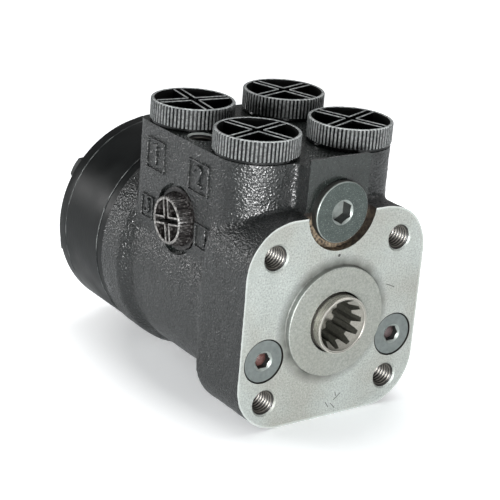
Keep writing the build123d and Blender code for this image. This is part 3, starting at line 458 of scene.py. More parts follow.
# Cast marks: four plain numerals, each in a raised frame, that the pattern left standing on the
# left side. They are as rough and black as the skin round them.
marks = bmesh.new()
facing_left = Matrix(((0, 0, -1, 0), (-1, 0, 0, 0), (0, 1, 0, 0), (0, 0, 0, 1)))
for text, y, z, wide, high in (
    ("1", 70.9, 48.8, 12, 12),
    ("2", 40.6, 48.8, 13, 12),
    ("3", 74.9, 26.5, 8, 9),
    ("4", 34.6, 26.5, 11, 9),
):
    curve = bpy.data.curves.new("numeral", "FONT")
    curve.body = text
    curve.size = high * MM
    curve.offset = 0.25 * MM
    curve.align_x = "CENTER"
    curve.align_y = "CENTER"
    curve.extrude = 1.1 * MM
    drawn = bpy.data.objects.new("numeral", curve)
    bpy.context.scene.collection.objects.link(drawn)
    bpy.context.view_layer.update()
    shown = drawn.evaluated_get(bpy.context.evaluated_depsgraph_get())
    letter = bpy.data.meshes.new_from_object(shown)
    spot = Matrix.Translation(Vector((-38.2, y, z)) * MM)
    letter.transform(Matrix.Scale(1000, 4) @ spot @ facing_left)
    marks.from_mesh(letter)
    bpy.data.objects.remove(drawn)
    for side in (-1, 1):
        across, up = y + side * wide / 2, z + side * high / 2
        slab(marks, (-39.2, across - 0.4, z - high / 2), (-37.6, across + 0.4, z + high / 2))
        slab(marks, (-39.2, y - wide / 2, up - 0.4), (-37.6, y + wide / 2, up + 0.4))
marks = piece("cast_marks", marks, [cast_paint])
melt = marks.modifiers.new("melt", "REMESH")
melt.mode = "VOXEL"
melt.voxel_size = 0.3 * MM
ease = marks.modifiers.new("ease", "SMOOTH")
ease.factor = 0.5
ease.iterations = 3
settle(marks)
soften(marks, 180)
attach(marks, "housing")

# Gear set: distributor plate, gear ring and end cover, turned from steel bar and painted satin
# black once they were screwed together. The paint is thin, so each turned edge shines through.
ring_paint, tree, shader, place = surface("satin black paint on turned steel")
turned = add(tree, "Mapping", {}, {"Vector": place, "Scale": (0.25, 1, 0.25)})
turned = add(tree, "TexNoise", {}, {"Vector": turned, "Scale": 1 / (0.9 * MM), "Detail": 3.0})
cloud = add(tree, "TexNoise", {}, {"Vector": place, "Scale": 1 / (12 * MM), "Detail": 3.0})
tint = add(tree, "Mix", COLOURS, {"Factor": cloud, DARK: "#08090a", PALE: "#191c1c"}, MIXED)
bump = add(tree, "Bump", {}, {"Height": turned, "Distance": 0.05 * MM, "Strength": 0.7})
gloss = add(tree, "MapRange", {}, {0: cloud, 1: 0.3, 2: 0.7, 3: 0.28, 4: 0.44})
plug_in(tree, shader, {"Base Color": tint, "Normal": bump, "Roughness": gloss})
plug_in(tree, shader, {"Specular IOR Level": 0.3})
bare_edge, tree, shader, place = surface("turned steel edge under thin paint")
worn = add(tree, "TexNoise", {}, {"Vector": place, "Scale": 1 / (5 * MM), "Detail": 3.0})
worn = add(tree, "MapRange", {}, {0: worn, 1: 0.4, 2: 0.6})
tint = add(tree, "Mix", COLOURS, {"Factor": worn, DARK: "#2b2e2f", PALE: "#6a6d6c"}, MIXED)
plug_in(tree, shader, {"Base Color": tint, "Roughness": 0.4, "Metallic": 0.4})


def disc(name, radius, front, rear, hole, edge=0.25):
    """A ring of the stack, with a bright turned edge at both rims."""
    corners = [(hole, front, 0), (radius - edge, front, 1), (radius, front + edge, 0)]
    corners += [(radius, rear - edge, 1), (radius - edge, rear, 0), (hole, rear, 0)]
    return piece(name, turn(bmesh.new(), corners, 160), [ring_paint, bare_edge], ALONG_Y)


def screw_holes(radius, front, rear):
    """Tool for the seven through holes of one ring."""
    tool = bmesh.new()
    for steps in range(SCREW_COUNT):
        hole = [(0, front, 0), (radius, front, 0), (radius, rear, 0), (0, rear, 0)]
        bore(tool, hole, ALONG_Y, on_circle(SCREW_CIRCLE, steps), 32)
    return piece("screw hole tool", tool, [bare_edge], outward=True)


plate = disc("distributor_plate_visual", 43.4, 98.72, 104.18, 9.6)
cut(plate, screw_holes(4.25, 98, 105))
ring_gear = disc("gear_ring_visual", 43.7, 104.22, 130.18, 15)
LOBE_CIRCLE, LOBE_R, CAVITY_R = 29.8, 8.5, 27.1
lobed = []
for step in range(420):
    angle = 2 * math.pi * step / 420
    reach = CAVITY_R
    for index in range(SCREW_COUNT):
        apart = angle - math.radians(SCREW_START + index * 360 / SCREW_COUNT)
        across = LOBE_CIRCLE * math.sin(apart)
        if abs(across) < LOBE_R and math.cos(apart) > 0:
            deep = math.sqrt(LOBE_R**2 - across**2)
            reach = min(reach, LOBE_CIRCLE * math.cos(apart) - deep)
    lobed.append((reach * math.cos(angle), 104, reach * math.sin(angle)))
cavity = piece("cavity tool", prism(bmesh.new(), lobed, (0, 27, 0)), [bare_edge])
cut(ring_gear, cavity, screw_holes(4.25, 104, 131))
corners = [(0, 130.22, 0), (43.35, 130.22, 1), (43.7, 130.57, 0), (43.7, 135.4, 0)]
corners += [(43.47, 136.0, 0), (42.9, 136.4, 0), (0, 136.4, 0)]
cover = turn(bmesh.new(), corners, 160)
cover = piece("end_cover_visual", cover, [ring_paint, bare_edge], ALONG_Y)
cut(cover, screw_holes(4.25, 130, 137))
for made, node in ((plate, "distributor_plate"), (ring_gear, "gear_ring"), (cover, "end_cover")):
    soften(made, 30)
    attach(made, "housing")
    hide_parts(node)

# Cover screws: seven zinc-iron hexagon screws with flat washers, painted over with the stack.
# One screw is drawn and set round the circle.
screw_paint, tree, shader, place = surface("satin black paint on screw heads")
scuff = add(tree, "TexNoise", {}, {"Vector": place, "Scale": 1 / (2 * MM), "Detail": 3.0})
tint = add(tree, "Mix", COLOURS, {"Factor": scuff, DARK: "#111313", PALE: "#3b3e3e"}, MIXED)
plug_in(tree, shader, {"Base Color": tint, "Roughness": 0.36, "Metallic": 0.2})

circle = bpy.data.node_groups.new("set round a circle", "GeometryNodeTree")
for title, kind in (("Piece", "Geometry"), ("Count", "Int"), ("Circle radius", "Float"),
                    ("First angle", "Float"), ("Own turn", "Float"), ("Finish", "Material")):
    circle.interface.new_socket(title, in_out="INPUT", socket_type=f"NodeSocket{kind}")
circle.interface.new_socket("Pieces", in_out="OUTPUT", socket_type="NodeSocketGeometry")
given = circle.nodes.new("NodeGroupInput").outputs
index = add(circle, "GeometryNodeInputIndex", {}, {})
step = add(circle, "Math", {"operation": "DIVIDE"}, {0: math.tau, 1: given["Count"]})
step = add(circle, "Math", TIMES, {0: step, 1: index})
angle = add(circle, "Math", {"operation": "ADD"}, {0: step, 1: given["First angle"]})
cosine = add(circle, "Math", {"operation": "COSINE"}, {0: angle})
sine = add(circle, "Math", {"operation": "SINE"}, {0: angle})
spot = add(circle, "CombineXYZ", {}, {"X": cosine, "Y": sine})
spot = add(circle, "VectorMath", {"operation": "SCALE"}, {0: spot, "Scale": given["Circle radius"]})
spots = add(circle, "GeometryNodePoints", {}, {"Count": given["Count"], "Position": spot})
own = add(circle, "Math", TIMES, {0: given["Own turn"], 1: index})
facing = add(circle, "Math", {"operation": "ADD"}, {0: angle, 1: own})
facing = add(circle, "CombineXYZ", {}, {"Z": facing})
copies = {"Points": spots, "Instance": given["Piece"], "Rotation": facing}
copies = add(circle, "GeometryNodeInstanceOnPoints", {}, copies)
real = add(circle, "GeometryNodeRealizeInstances", {}, {"Geometry": copies})
dressed = {"Geometry": real, "Material": given["Finish"]}
dressed = add(circle, "GeometryNodeSetMaterial", {}, dressed)
plug_in(circle, circle.nodes.new("NodeGroupOutput"), {"Pieces": dressed})


def set_round(made, **inputs):
    """Sets one piece, drawn about Z, round a circle and keeps the result as a plain mesh."""
    modifier = made.modifiers.new("circle", "NODES")
    modifier.node_group = circle
    for item in circle.interface.items_tree:
        title = item.name.replace(" ", "_")
        if item.in_out == "INPUT" and title in inputs:
            modifier[item.identifier] = inputs[title]
    settle(made)
    return made


def hex_points(flats, turn_by=0.0):
    """Corners of a hexagon, so wide across its flats."""
    reach = flats / 2 / math.cos(math.pi / 6)
    turns = [turn_by + math.pi / 3 * step for step in range(6)]
    return [(reach * math.cos(a), reach * math.sin(a), 0) for a in turns]


def screw(name):
    """Hexagon screw whose seat is at height 0, head upwards."""
    head = piece(name, prism(bmesh.new(), hex_points(13), (0, 0, 4.9)), [screw_paint])
    crown = [(0, 0, 0), (7.7, 0, 0), (7.7, 3.9, 0), (6.35, 4.75, 0), (6.0, 4.9, 0), (0, 4.9, 0)]
    cut(head, piece("crown tool", turn(bmesh.new(), crown, 72), [screw_paint]), how="INTERSECT")
    shank = [(0, -1, 0), (4.0, -1, 0), (4.0, -53.2, 0), (3.0, -54.5, 0), (0, -54.5, 0)]
    shank = piece("shank", turn(bmesh.new(), shank, 32), [screw_paint])
    join(head, shank)
    return head


def join(made, *others):
    """Puts other pieces' meshes into one piece, keeping each face's material."""
    with bpy.context.temp_override(active_object=made, selected_editable_objects=[made, *others]):
        bpy.ops.object.join()
    return made


def lay(made, frame_of, at):
    """Turns and moves a finished mesh to its place in the row."""
    made.data.transform(Matrix.Translation(Vector(at) * MM) @ frame_of)
    return made


# The plain screws leave out the place of the first one, which holds the pin.
first = math.radians(-SCREW_START)
home = Vector((math.cos(first), math.sin(first), 0)) * SCREW_CIRCLE * MM
ring = {"Count": SCREW_COUNT, "Circle_radius": SCREW_CIRCLE * MM, "First_angle": first}
for name, node in (("cover_screws_visual", "cover_screws"), ("pin_screw_visual", "pin_screw")):
    made = screw(name)
    if node == "cover_screws":
        made = set_round(made, **ring, Own_turn=0.3, Finish=screw_paint)
        bm = bmesh.new()
        bm.from_mesh(made.data)
        gone = [v for v in bm.verts if (Vector((v.co.x, v.co.y, 0)) - home).length < 9 * MM]
        bmesh.ops.delete(bm, geom=gone, context="VERTS")
        bm.to_mesh(made.data)
        bm.free()
    else:
        made.data.transform(Matrix.Translation(home))
    lay(made, ALONG_Y, (0, 137.4, 0))
    soften(made, 25)
    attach(made, "housing")
    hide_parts(node)

rim = [(4.25, 0, 0), (7.15, 0, 0), (7.4, 0.2, 0), (7.4, 0.8, 0), (7.15, 1.0, 0), (4.25, 1.0, 0)]
washers = piece("screw_washers_visual", turn(bmesh.new(), rim, 48), [screw_paint])
set_round(washers, **ring, Own_turn=0.0, Finish=screw_paint)
lay(washers, ALONG_Y, (0, 136.4, 0))
soften(washers, 25)
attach(washers, "housing")
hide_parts("screw_washers")

# Valve spool: one bar of case-hardened steel. Its front end is the hub, ground outside, with a
# bright lead-in cone before twelve broached splines that were phosphated dark.
ground_steel, tree, shader, place = surface("ground hardened steel")
lines = add(tree, "Mapping", {}, {"Vector": place, "Scale": (0.1, 1, 0.1)})
lines = add(tree, "TexNoise", {}, {"Vector": lines, "Scale": 1 / (0.5 * MM), "Detail": 2.0})
gloss = add(tree, "MapRange", {}, {0: lines, 1: 0.3, 2: 0.7, 3: 0.22, 4: 0.36})
tint = add(tree, "Mix", COLOURS, {"Factor": lines, DARK: "#85837c", PALE: "#bdbab2"}, MIXED)
plug_in(tree, shader, {"Base Color": tint, "Roughness": gloss, "Metallic": 0.85})
bright_cone, tree, shader, place = surface("bright turned steel")
lines = add(tree, "TexNoise", {}, {"Vector": place, "Scale": 1 / (0.6 * MM), "Detail": 2.0})
gloss = add(tree, "MapRange", {}, {0: lines, 1: 0.3, 2: 0.7, 3: 0.3, 4: 0.42})
tint = add(tree, "Mix", COLOURS, {"Factor": lines, DARK: "#8a8981", PALE: "#c8c6be"}, MIXED)
plug_in(tree, shader, {"Base Color": tint, "Roughness": gloss, "Metallic": 0.3})
phosphated, tree, shader, place = surface("phosphated steel splines")
film = add(tree, "TexNoise", {}, {"Vector": place, "Scale": 1 / (0.8 * MM), "Detail": 3.0})
tint = add(tree, "Mix", COLOURS, {"Factor": film, DARK: "#1d1d1a", PALE: "#55554d"}, MIXED)
plug_in(tree, shader, {"Base Color": tint, "Roughness": 0.4, "Metallic": 0.3})


def spline_outline():
    """Angle and radius of each point round the twelve teeth."""
    points = []
    for tooth in range(12):
        centre = math.radians(15 + 30 * tooth)
        flank = ((10.3, 3.6), (9.525, 2.45), (8.6, 1.3))
        for side, row in ((-1, flank), (1, reversed(flank))):
            for reach, width in row:
                points.append((centre + side * width / 2 / reach, reach))
        gap_start = centre + 3.6 / 2 / 10.3
        gap_end = centre + math.radians(30) - 3.6 / 2 / 10.3
        for share in (0.25, 0.5, 0.75):
            points.append((gap_start + (gap_end - gap_start) * share, 10.3))
    return points


teeth = spline_outline()
stations = []
nose = [(11.58, -6.2, 0), (11.4, -6.5, 1), (11.1, -6.64, 0)]
nose += [(10.6, -6.64, 1), (10.4, -6.5, 1), (10.4, -4.69, 1)]
for radius, height, look in nose:
    stations.append(([radius] * len(teeth), [height] * len(teeth), look))
stations.append(([r for _, r in teeth], [-4.69 + (10.4 - r) * 3.8 / 1.8 for _, r in teeth], 2))
stations.append(([r for _, r in teeth], [10.7] * len(teeth), 2))
inside = [(10.32, 10.7, 1), (10.32, 19.5, 1), (3.0, 19.5, 2), (3.0, 35, 2), (9.6, 35, 0)]
for radius, height, look in inside + [(9.6, 96, 0), (14.0, 96, 0), (14.0, 15, 0), (11.58, 15, 0)]:
    stations.append(([radius] * len(teeth), [height] * len(teeth), look))
spool = bmesh.new()
rings = []
for radii, heights, _ in stations:
    ring = []
    for radius, height, (angle, _) in zip(radii, heights, teeth):
        spot = (radius * math.cos(angle), height, radius * math.sin(angle))
        ring.append(spool.verts.new(spot))
    rings.append(ring)
for index, (_, _, look) in enumerate(stations):
    near = rings[index]
    far = rings[(index + 1) % len(rings)]
    for step in range(len(teeth)):
        after = (step + 1) % len(teeth)
        spool.faces.new([near[step], near[after], far[after], far[step]]).material_index = look
spool = piece("valve_spool_visual", spool, [ground_steel, bright_cone, phosphated])
slot_tool = piece("slot tool", slab(bmesh.new(), (-20, 21, -2.6), (20, 31, 2.6)), [phosphated])
pin_tool = turn(bmesh.new(), [(0, -20, 0), (5.3, -20, 0), (5.3, 20, 0), (0, 20, 0)], 48)
pin_tool = piece("pin tool", pin_tool, [phosphated], TO_LEFT, (0, 44, 0))
cut(spool, slot_tool, pin_tool)
soften(spool, 30)
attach(spool, "spool")
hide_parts("valve_spool")

# Relief plug: phosphated steel plug with a broached hexagon, screwed down on its copper washer in
# the notch. Its bevelled rim is worn bright.
plug_steel, tree, shader, place = surface("phosphated plug steel")
cloud = add(tree, "TexNoise", {}, {"Vector": place, "Scale": 1 / (2.6 * MM), "Detail": 4.0})
grain = add(tree, "TexNoise", {}, {"Vector": place, "Scale": 1 / (0.5 * MM), "Detail": 2.0})
tint = add(tree, "Mix", COLOURS, {"Factor": cloud, DARK: "#2c3432", PALE: "#49524f"}, MIXED)
grit = add(tree, "MapRange", {}, {0: grain, 1: 0.55, 2: 0.7, 4: 0.5})
tint = add(tree, "Mix", COLOURS, {"Factor": grit, DARK: tint, PALE: "#89918d"}, MIXED)
bump = add(tree, "Bump", {}, {"Height": grain, "Distance": 0.03 * MM, "Strength": 0.5})
plug_in(tree, shader, {"Base Color": tint, "Normal": bump, "Roughness": 0.46, "Metallic": 0.3})
worn_rim, tree, shader, place = surface("worn bevel of a plug")
worn = add(tree, "TexNoise", {}, {"Vector": place, "Scale": 1 / (1.2 * MM), "Detail": 3.0})
tint = add(tree, "Mix", COLOURS, {"Factor": worn, DARK: "#747b78", PALE: "#a5aca8"}, MIXED)
plug_in(tree, shader, {"Base Color": tint, "Roughness": 0.36, "Metallic": 0.5})
socket_dark, tree, shader, place = surface("broached hexagon wall")
film = add(tree, "TexNoise", {}, {"Vector": place, "Scale": 1 / (0.7 * MM), "Detail": 2.0})
tint = add(tree, "Mix", COLOURS, {"Factor": film, DARK: "#1b1c1b", PALE: "#444645"}, MIXED)
plug_in(tree, shader, {"Base Color": tint, "Roughness": 0.4, "Metallic": 0.4})
# Blackened steel, darkened further as painted shade: the plugs' sides and the seal washers show as
# the dark gap round each plug.
black_in_shade, tree, shader, place = surface("blackened steel in shade")
film = add(tree, "TexNoise", {}, {"Vector": place, "Scale": 1 / (0.9 * MM), "Detail": 3.0})
tint = add(tree, "Mix", COLOURS, {"Factor": film, DARK: "#101111", PALE: "#393a37"}, MIXED)
plug_in(tree, shader, {"Base Color": tint, "Roughness": 0.5, "Metallic": 0.2})

front = 0.46
corners = [(0, front, 0), (11.7, front, 1), (12.05, front + 0.3, 2), (12.2, front + 0.6, 2)]
corners += [(12.2, 2.66, 2), (9.0, 2.66, 0), (9.0, 18.5, 0), (0, 18.5, 0)]
plug = turn(bmesh.new(), corners, 96)
looks = [plug_steel, worn_rim, black_in_shade]
plug = piece("relief_plug_visual", plug, looks, ALONG_Y, (0, 0, RELIEF_Z))
hexagon = [(x, front - 1, RELIEF_Z + y) for x, y, _ in hex_points(8, math.pi / 6)]
hexagon = piece("hexagon tool", prism(bmesh.new(), hexagon, (0, 6, 0), 1), [socket_dark, worn_rim])
mouth = [(0, front - 0.5, 0), (5.5, front - 0.5, 0), (5.0, front, 0), (0, front + 2.9, 0)]
mouth = piece("mouth tool", turn(bmesh.new(), mouth, 64), [worn_rim], ALONG_Y, (0, 0, RELIEF_Z))
cut(plug, hexagon, mouth)
soften(plug, 30)
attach(plug, "housing")
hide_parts("relief_plug")

# Shock plugs: two turned plugs flush in the flange face, with a worn ring at the hexagon's mouth.
# The left one's hexagon is filled with red-brown locking paint.
turned_plug, tree, shader, place = surface("turned and phosphated plug face")
cloud = add(tree, "TexNoise", {}, {"Vector": place, "Scale": 1 / (2.2 * MM), "Detail": 4.0})
grain = add(tree, "TexNoise", {}, {"Vector": place, "Scale": 1 / (0.5 * MM), "Detail": 2.0})
tint = add(tree, "Mix", COLOURS, {"Factor": cloud, DARK: "#575e5d", PALE: "#808785"}, MIXED)
bump = add(tree, "Bump", {}, {"Height": grain, "Distance": 0.08 * MM, "Strength": 0.7})
plug_in(tree, shader, {"Base Color": tint, "Normal": bump, "Roughness": 0.42, "Metallic": 0.45})
lock_paint, tree, shader, place = surface("red-brown locking paint")
clots = add(tree, "TexNoise", {}, {"Vector": place, "Scale": 1 / (1.3 * MM), "Detail": 3.0})
tint = add(tree, "Mix", COLOURS, {"Factor": clots, DARK: "#261917", PALE: "#694843"}, MIXED)
bump = add(tree, "Bump", {}, {"Height": clots, "Distance": 0.5 * MM, "Strength": 0.9})
plug_in(tree, shader, {"Base Color": tint, "Normal": bump, "Roughness": 0.4})
old_paint, tree, shader, place = surface("dark brown locking paint")
clots = add(tree, "TexNoise", {}, {"Vector": place, "Scale": 1 / (1.5 * MM), "Detail": 3.0})
tint = add(tree, "Mix", COLOURS, {"Factor": clots, DARK: "#231d1b", PALE: "#57494a"}, MIXED)
plug_in(tree, shader, {"Base Color": tint, "Roughness": 0.45})
looks = [turned_plug, worn_rim, black_in_shade]
for name, x, paint in (("left", -SHOCK_X, lock_paint), ("right", SHOCK_X, old_paint)):
    corners = [(0, 0.35, 0), (8.4, 0.35, 2), (8.6, 0.7, 2), (8.6, 5.35, 0)]
    corners += [(7.0, 5.35, 0), (7.0, 14.35, 0), (0, 14.35, 0)]
    plug = turn(bmesh.new(), corners, 80)
    plug = piece(f"shock_plug_{name}_visual", plug, looks, ALONG_Y, (x, 0, SHOCK_Z))
    hexagon = [(x + px, -0.5, SHOCK_Z + py) for px, py, _ in hex_points(6)]
    hexagon = piece("hexagon tool", prism(bmesh.new(), hexagon, (0, 6.05, 0)), [socket_dark])
    mouth = [(0, 0, 0), (4.45, 0, 0), (4.1, 0.35, 0), (0, 2.9, 0)]
    mouth = turn(bmesh.new(), mouth, 64)
    mouth = piece("mouth tool", mouth, [worn_rim], ALONG_Y, (x, 0, SHOCK_Z))
    cut(plug, hexagon, mouth)
    soften(plug, 30)
    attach(plug, "housing")
    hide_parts(f"shock_plug_{name}")
    blob = bmesh.new()
    bmesh.ops.create_uvsphere(blob, u_segments=24, v_segments=12, radius=1)
    squash = Matrix.Translation((x, 4.0, SHOCK_Z)) @ Matrix.Diagonal((3.2, 2.3, 3.2, 1))
    bmesh.ops.transform(blob, matrix=squash, verts=blob.verts)
    blob = piece(f"locking_paint_{name}", blob, [paint], smooth=60)
    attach(blob, "housing")

# Port caps: four moulded polyethylene plugs, black, with a knurled rim, two crossed pairs of ribs
# over a deep floor, and a hollow stem that grips the thread. Their knurl crests and top lip are
# painted paler in patches as a highlight.
cap_plastic, tree, shader, place = surface("black moulded polyethylene")
middle = add(tree, "VectorMath", {"operation": "SUBTRACT"}, {0: place, 1: (0, 50 * MM, 0)})
middle = add(tree, "VectorMath", {"operation": "ABSOLUTE"}, {0: middle})
middle = add(tree, "VectorMath", {"operation": "SUBTRACT"}, {0: middle, 1: (22 * MM, 22 * MM, 0)})
middle = add(tree, "VectorMath", TIMES, {0: middle, 1: (1, 1, 0)})
reach = add(tree, "VectorMath", {"operation": "LENGTH"}, {0: middle}, "Value")
rise = add(tree, "SeparateXYZ", {}, {0: place}, "Z")
# Painted highlight: the knurl's crests and the top lip paler, broken into patches by noise.
crest_highlight = add(tree, "MapRange", {}, {0: reach, 1: 16.4 * MM, 2: 16.62 * MM, 3: 0.0, 4: 0.36})
lip = add(tree, "MapRange", {}, {0: rise, 1: 69.45 * MM, 2: 69.75 * MM})
edge = add(tree, "Math", {"operation": "MAXIMUM"}, {0: crest_highlight, 1: lip})
scuff = add(tree, "TexNoise", {}, {"Vector": place, "Scale": 1 / (1.1 * MM), "Detail": 4.0})
scuff = add(tree, "MapRange", {}, {0: scuff, 1: 0.36, 2: 0.6, 3: 0.45, 4: 1.0})
edge = add(tree, "Math", TIMES, {0: edge, 1: scuff})
tint = add(tree, "Mix", COLOURS, {"Factor": edge, DARK: "#060707", PALE: "#c2c6c6"}, MIXED)
plug_in(tree, shader, {"Base Color": tint, "Roughness": 0.2})
# The pocket floors and lower inner walls are darker and duller: painted shade in the deep pockets.
pocket_shade, tree, shader, place = surface("matt black polyethylene in the pockets")
dust = add(tree, "TexNoise", {}, {"Vector": place, "Scale": 1 / (2 * MM), "Detail": 3.0})
tint = add(tree, "Mix", COLOURS, {"Factor": dust, DARK: "#020202", PALE: "#0e0f0f"}, MIXED)
plug_in(tree, shader, {"Base Color": tint, "Roughness": 0.7, "Specular IOR Level": 0.15})


def crossed(reach, gap, apart, half, low, high):
    """Two crossed pairs of ribs, each parted in the middle."""
    bars = bmesh.new()
    for start, end in ((-reach, -gap), (gap, reach)):
        for side in (-apart, apart):
            slab(bars, (start, side - half, low), (end, side + half, high))
            slab(bars, (side - half, start, low), (side + half, end, high))
    return bars


for name, x, y, facing in (
    ("front_left", -PORT_X, FRONT_ROW, 17),
    ("rear_left", -PORT_X, REAR_ROW, -7.6),
    ("front_right", PORT_X, FRONT_ROW, 22),
    ("rear_right", PORT_X, REAR_ROW, 16),
):
    corners = [(0, 63.93, 1), (14.65, 63.93, 1), (14.8, 64.2, 1), (15.35, 69.75, 0)]
    corners += [(15.5, 69.93, 0), (16.0, 69.93, 0), (16.15, 69.75, 0), (16.15, 62.2, 0)]
    corners += [(16.4, 62.0, 0), (16.4, 61.15, 0), (16.2, 61.0, 0), (9.15, 61.0, 0)]
    corners += [(9.15, 47.0, 0), (8.9, 46.0, 0), (7.95, 46.0, 0), (7.95, 61.0, 0), (0, 61.0, 0)]
    cap = piece("cap body", turn(bmesh.new(), corners, 132), [cap_plastic, pocket_shade])
    rib = [(0, 62.05, 0), (0.62, 62.05, 0), (0.62, 69.55, 0), (0.3, 69.85, 0), (0, 69.9, 0)]
    rib = piece("rib", turn(bmesh.new(), rib, 10), [cap_plastic])
    ring = {"Count": 66, "Circle_radius": 16.08 * MM, "First_angle": 0.0, "Own_turn": 0.0}
    set_round(rib, **ring, Finish=cap_plastic)
    bars = piece("bars", crossed(14.9, 1.6, 1.6, 0.3, 63.8, 69.85), [cap_plastic])
    round_off = bars.modifiers.new("round", "BEVEL")
    round_off.width = 0.16 * MM
    round_off.segments = 2
    settle(bars)
    lay(bars, Matrix.Rotation(math.radians(facing), 4, "Z"), (0, 0, 0))
    join(cap, rib, bars)
    lay(cap, UPRIGHT, (x, y, 0))
    cap.name = f"port_cap_{name}_visual"
    soften(cap, 35)
    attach(cap, f"port_cap_{name}")
    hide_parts(f"port_cap_{name}")

# Side port cap: the small plug of the load-sensing port, brown-black, with a tapered knurl.
side_plastic, tree, shader, place = surface("brown-black moulded polyethylene")
rise = add(tree, "SeparateXYZ", {}, {0: place}, "X")
# Painted highlight: the outermost rim and rib tips paler, in patches; the flecks are random.
edge = add(tree, "MapRange", {}, {0: rise, 1: -42.6 * MM, 2: -42.9 * MM})
scuff = add(tree, "TexNoise", {}, {"Vector": place, "Scale": 1 / (0.9 * MM), "Detail": 4.0})
scuff = add(tree, "MapRange", {}, {0: scuff, 1: 0.4, 2: 0.62, 3: 0.25, 4: 1.0})
share = add(tree, "Math", TIMES, {0: edge, 1: scuff})
flecks = add(tree, "MapRange", {}, {0: scuff, 1: 0.6, 2: 1.0, 3: 0.0, 4: 0.2})
share = add(tree, "Math", {"operation": "MAXIMUM"}, {0: share, 1: flecks})
tint = add(tree, "Mix", COLOURS, {"Factor": share, DARK: "#0f0b0b", PALE: "#a9a7a4"}, MIXED)
plug_in(tree, shader, {"Base Color": tint, "Roughness": 0.32})
corners = [(0, 2.0, 0), (8.0, 2.0, 0), (8.2, 2.3, 0), (8.2, 6.0, 0), (8.4, 6.2, 0)]
corners += [(9.1, 6.2, 0), (9.25, 6.0, 0), (10.45, 1.0, 0), (12.4, 1.0, 0), (12.5, 0.9, 0)]
corners += [(12.5, 0.1, 0), (12.4, 0, 0), (5.5, 0, 0)]
corners += [(5.5, -8.4, 0), (5.2, -9.0, 0), (4.5, -9.0, 0), (4.5, 0, 0), (0, 0, 0)]
small_cap = piece("side cap body", turn(bmesh.new(), corners, 88), [side_plastic])
lean = math.atan(1.2 / 5.0)
rib = [(0, 1.0, 0), (0.5, 1.0, 0), (0.42, 5.9, 0), (0.2, 6.1, 0), (0, 6.15, 0)]
rib = turn(bmesh.new(), rib, 10)
bmesh.ops.transform(rib, matrix=Matrix.Rotation(-lean, 4, "Y"), verts=rib.verts)
rib = piece("small rib", rib, [side_plastic])
ring = {"Count": 44, "Circle_radius": 10.62 * MM, "First_angle": 0.0, "Own_turn": 0.0}
set_round(rib, **ring, Finish=side_plastic)
bars = piece("small bars", crossed(8.3, 1.4, 1.35, 0.33, 1.8, 6.1), [side_plastic])
lay(bars, Matrix.Rotation(math.radians(12), 4, "Z"), (0, 0, 0))
join(small_cap, rib, bars)
lay(small_cap, TO_LEFT, (-36.8, SIDE_PORT_Y, SIDE_PORT_Z))
small_cap.name = "side_port_cap_visual"
soften(small_cap, 35)
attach(small_cap, "side_port_cap")
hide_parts("side_port_cap")

# Inner steel: sleeve, pins, races, balls, rotor and shafts, hardened and ground.
# They stay as the frame has them, and show only where a cap or a seat is open.
inner_steel, tree, shader, place = surface("hardened steel")
film = add(tree, "TexNoise", {}, {"Vector": place, "Scale": 1 / (0.8 * MM), "Detail": 2.0})
gloss = add(tree, "MapRange", {}, {0: film, 1: 0.3, 2: 0.7, 3: 0.24, 4: 0.38})
plug_in(tree, shader, {"Base Color": "#a29e97", "Roughness": gloss, "Metallic": 1.0})


def dress(look, *names):
    """Gives the frame's own nodes their material."""
    for name in names:
        nodes[name].data.materials.clear()
        nodes[name].data.materials.append(look)


dress(inner_steel, "valve_sleeve", "cross_pin", "thrust_race_front", "thrust_race_rear")
dress(inner_steel, "needle_cage", "rotor", "cardan_shaft", "drive_spacer", "relief_poppet")
dress(inner_steel, "check_ball", "suction_ball_upper", "suction_ball_lower")
dress(inner_steel, "shock_ball_left", "shock_ball_right")

# Springs, rolled pins and adjusters: blued spring steel and oiled turned parts.
spring_steel, tree, shader, place = surface("blued spring steel")
film = add(tree, "TexNoise", {}, {"Vector": place, "Scale": 1 / (2 * MM), "Detail": 2.0})
tint = add(tree, "Mix", COLOURS, {"Factor": film, DARK: "#3f424c", PALE: "#73757a"}, MIXED)
plug_in(tree, shader, {"Base Color": tint, "Roughness": 0.35, "Metallic": 1.0})
dress(spring_steel, "centring_springs", "spring_ring", "relief_spring", "shock_spring_left")
dress(spring_steel, "shock_spring_right", "suction_pins", "relief_adjuster")
dress(spring_steel, "shock_adjusters", "check_bush")

# Seal washers under the plugs: painted near black, as the shade of the gap under each plug.
dress(black_in_shade, "relief_seal_ring", "shock_seals")

# O-rings and lip seals of nitrile rubber.
nitrile, tree, shader, place = surface("nitrile rubber")
film = add(tree, "TexNoise", {}, {"Vector": place, "Scale": 1 / (1 * MM), "Detail": 2.0})
gloss = add(tree, "MapRange", {}, {0: film, 1: 0.3, 2: 0.7, 3: 0.5, 4: 0.7})
plug_in(tree, shader, {"Base Color": "#1a1a1a", "Roughness": gloss})
dress(nitrile, "o_ring_housing", "o_ring_plate", "o_ring_cover", "dust_seal", "shaft_seal")

# Bench, light and camera: a white sweep under the unit, which rests on its flange's foot and on
# the rear flange, and so leans nose down by two degrees.
paper, tree, shader, place = surface("white paper")
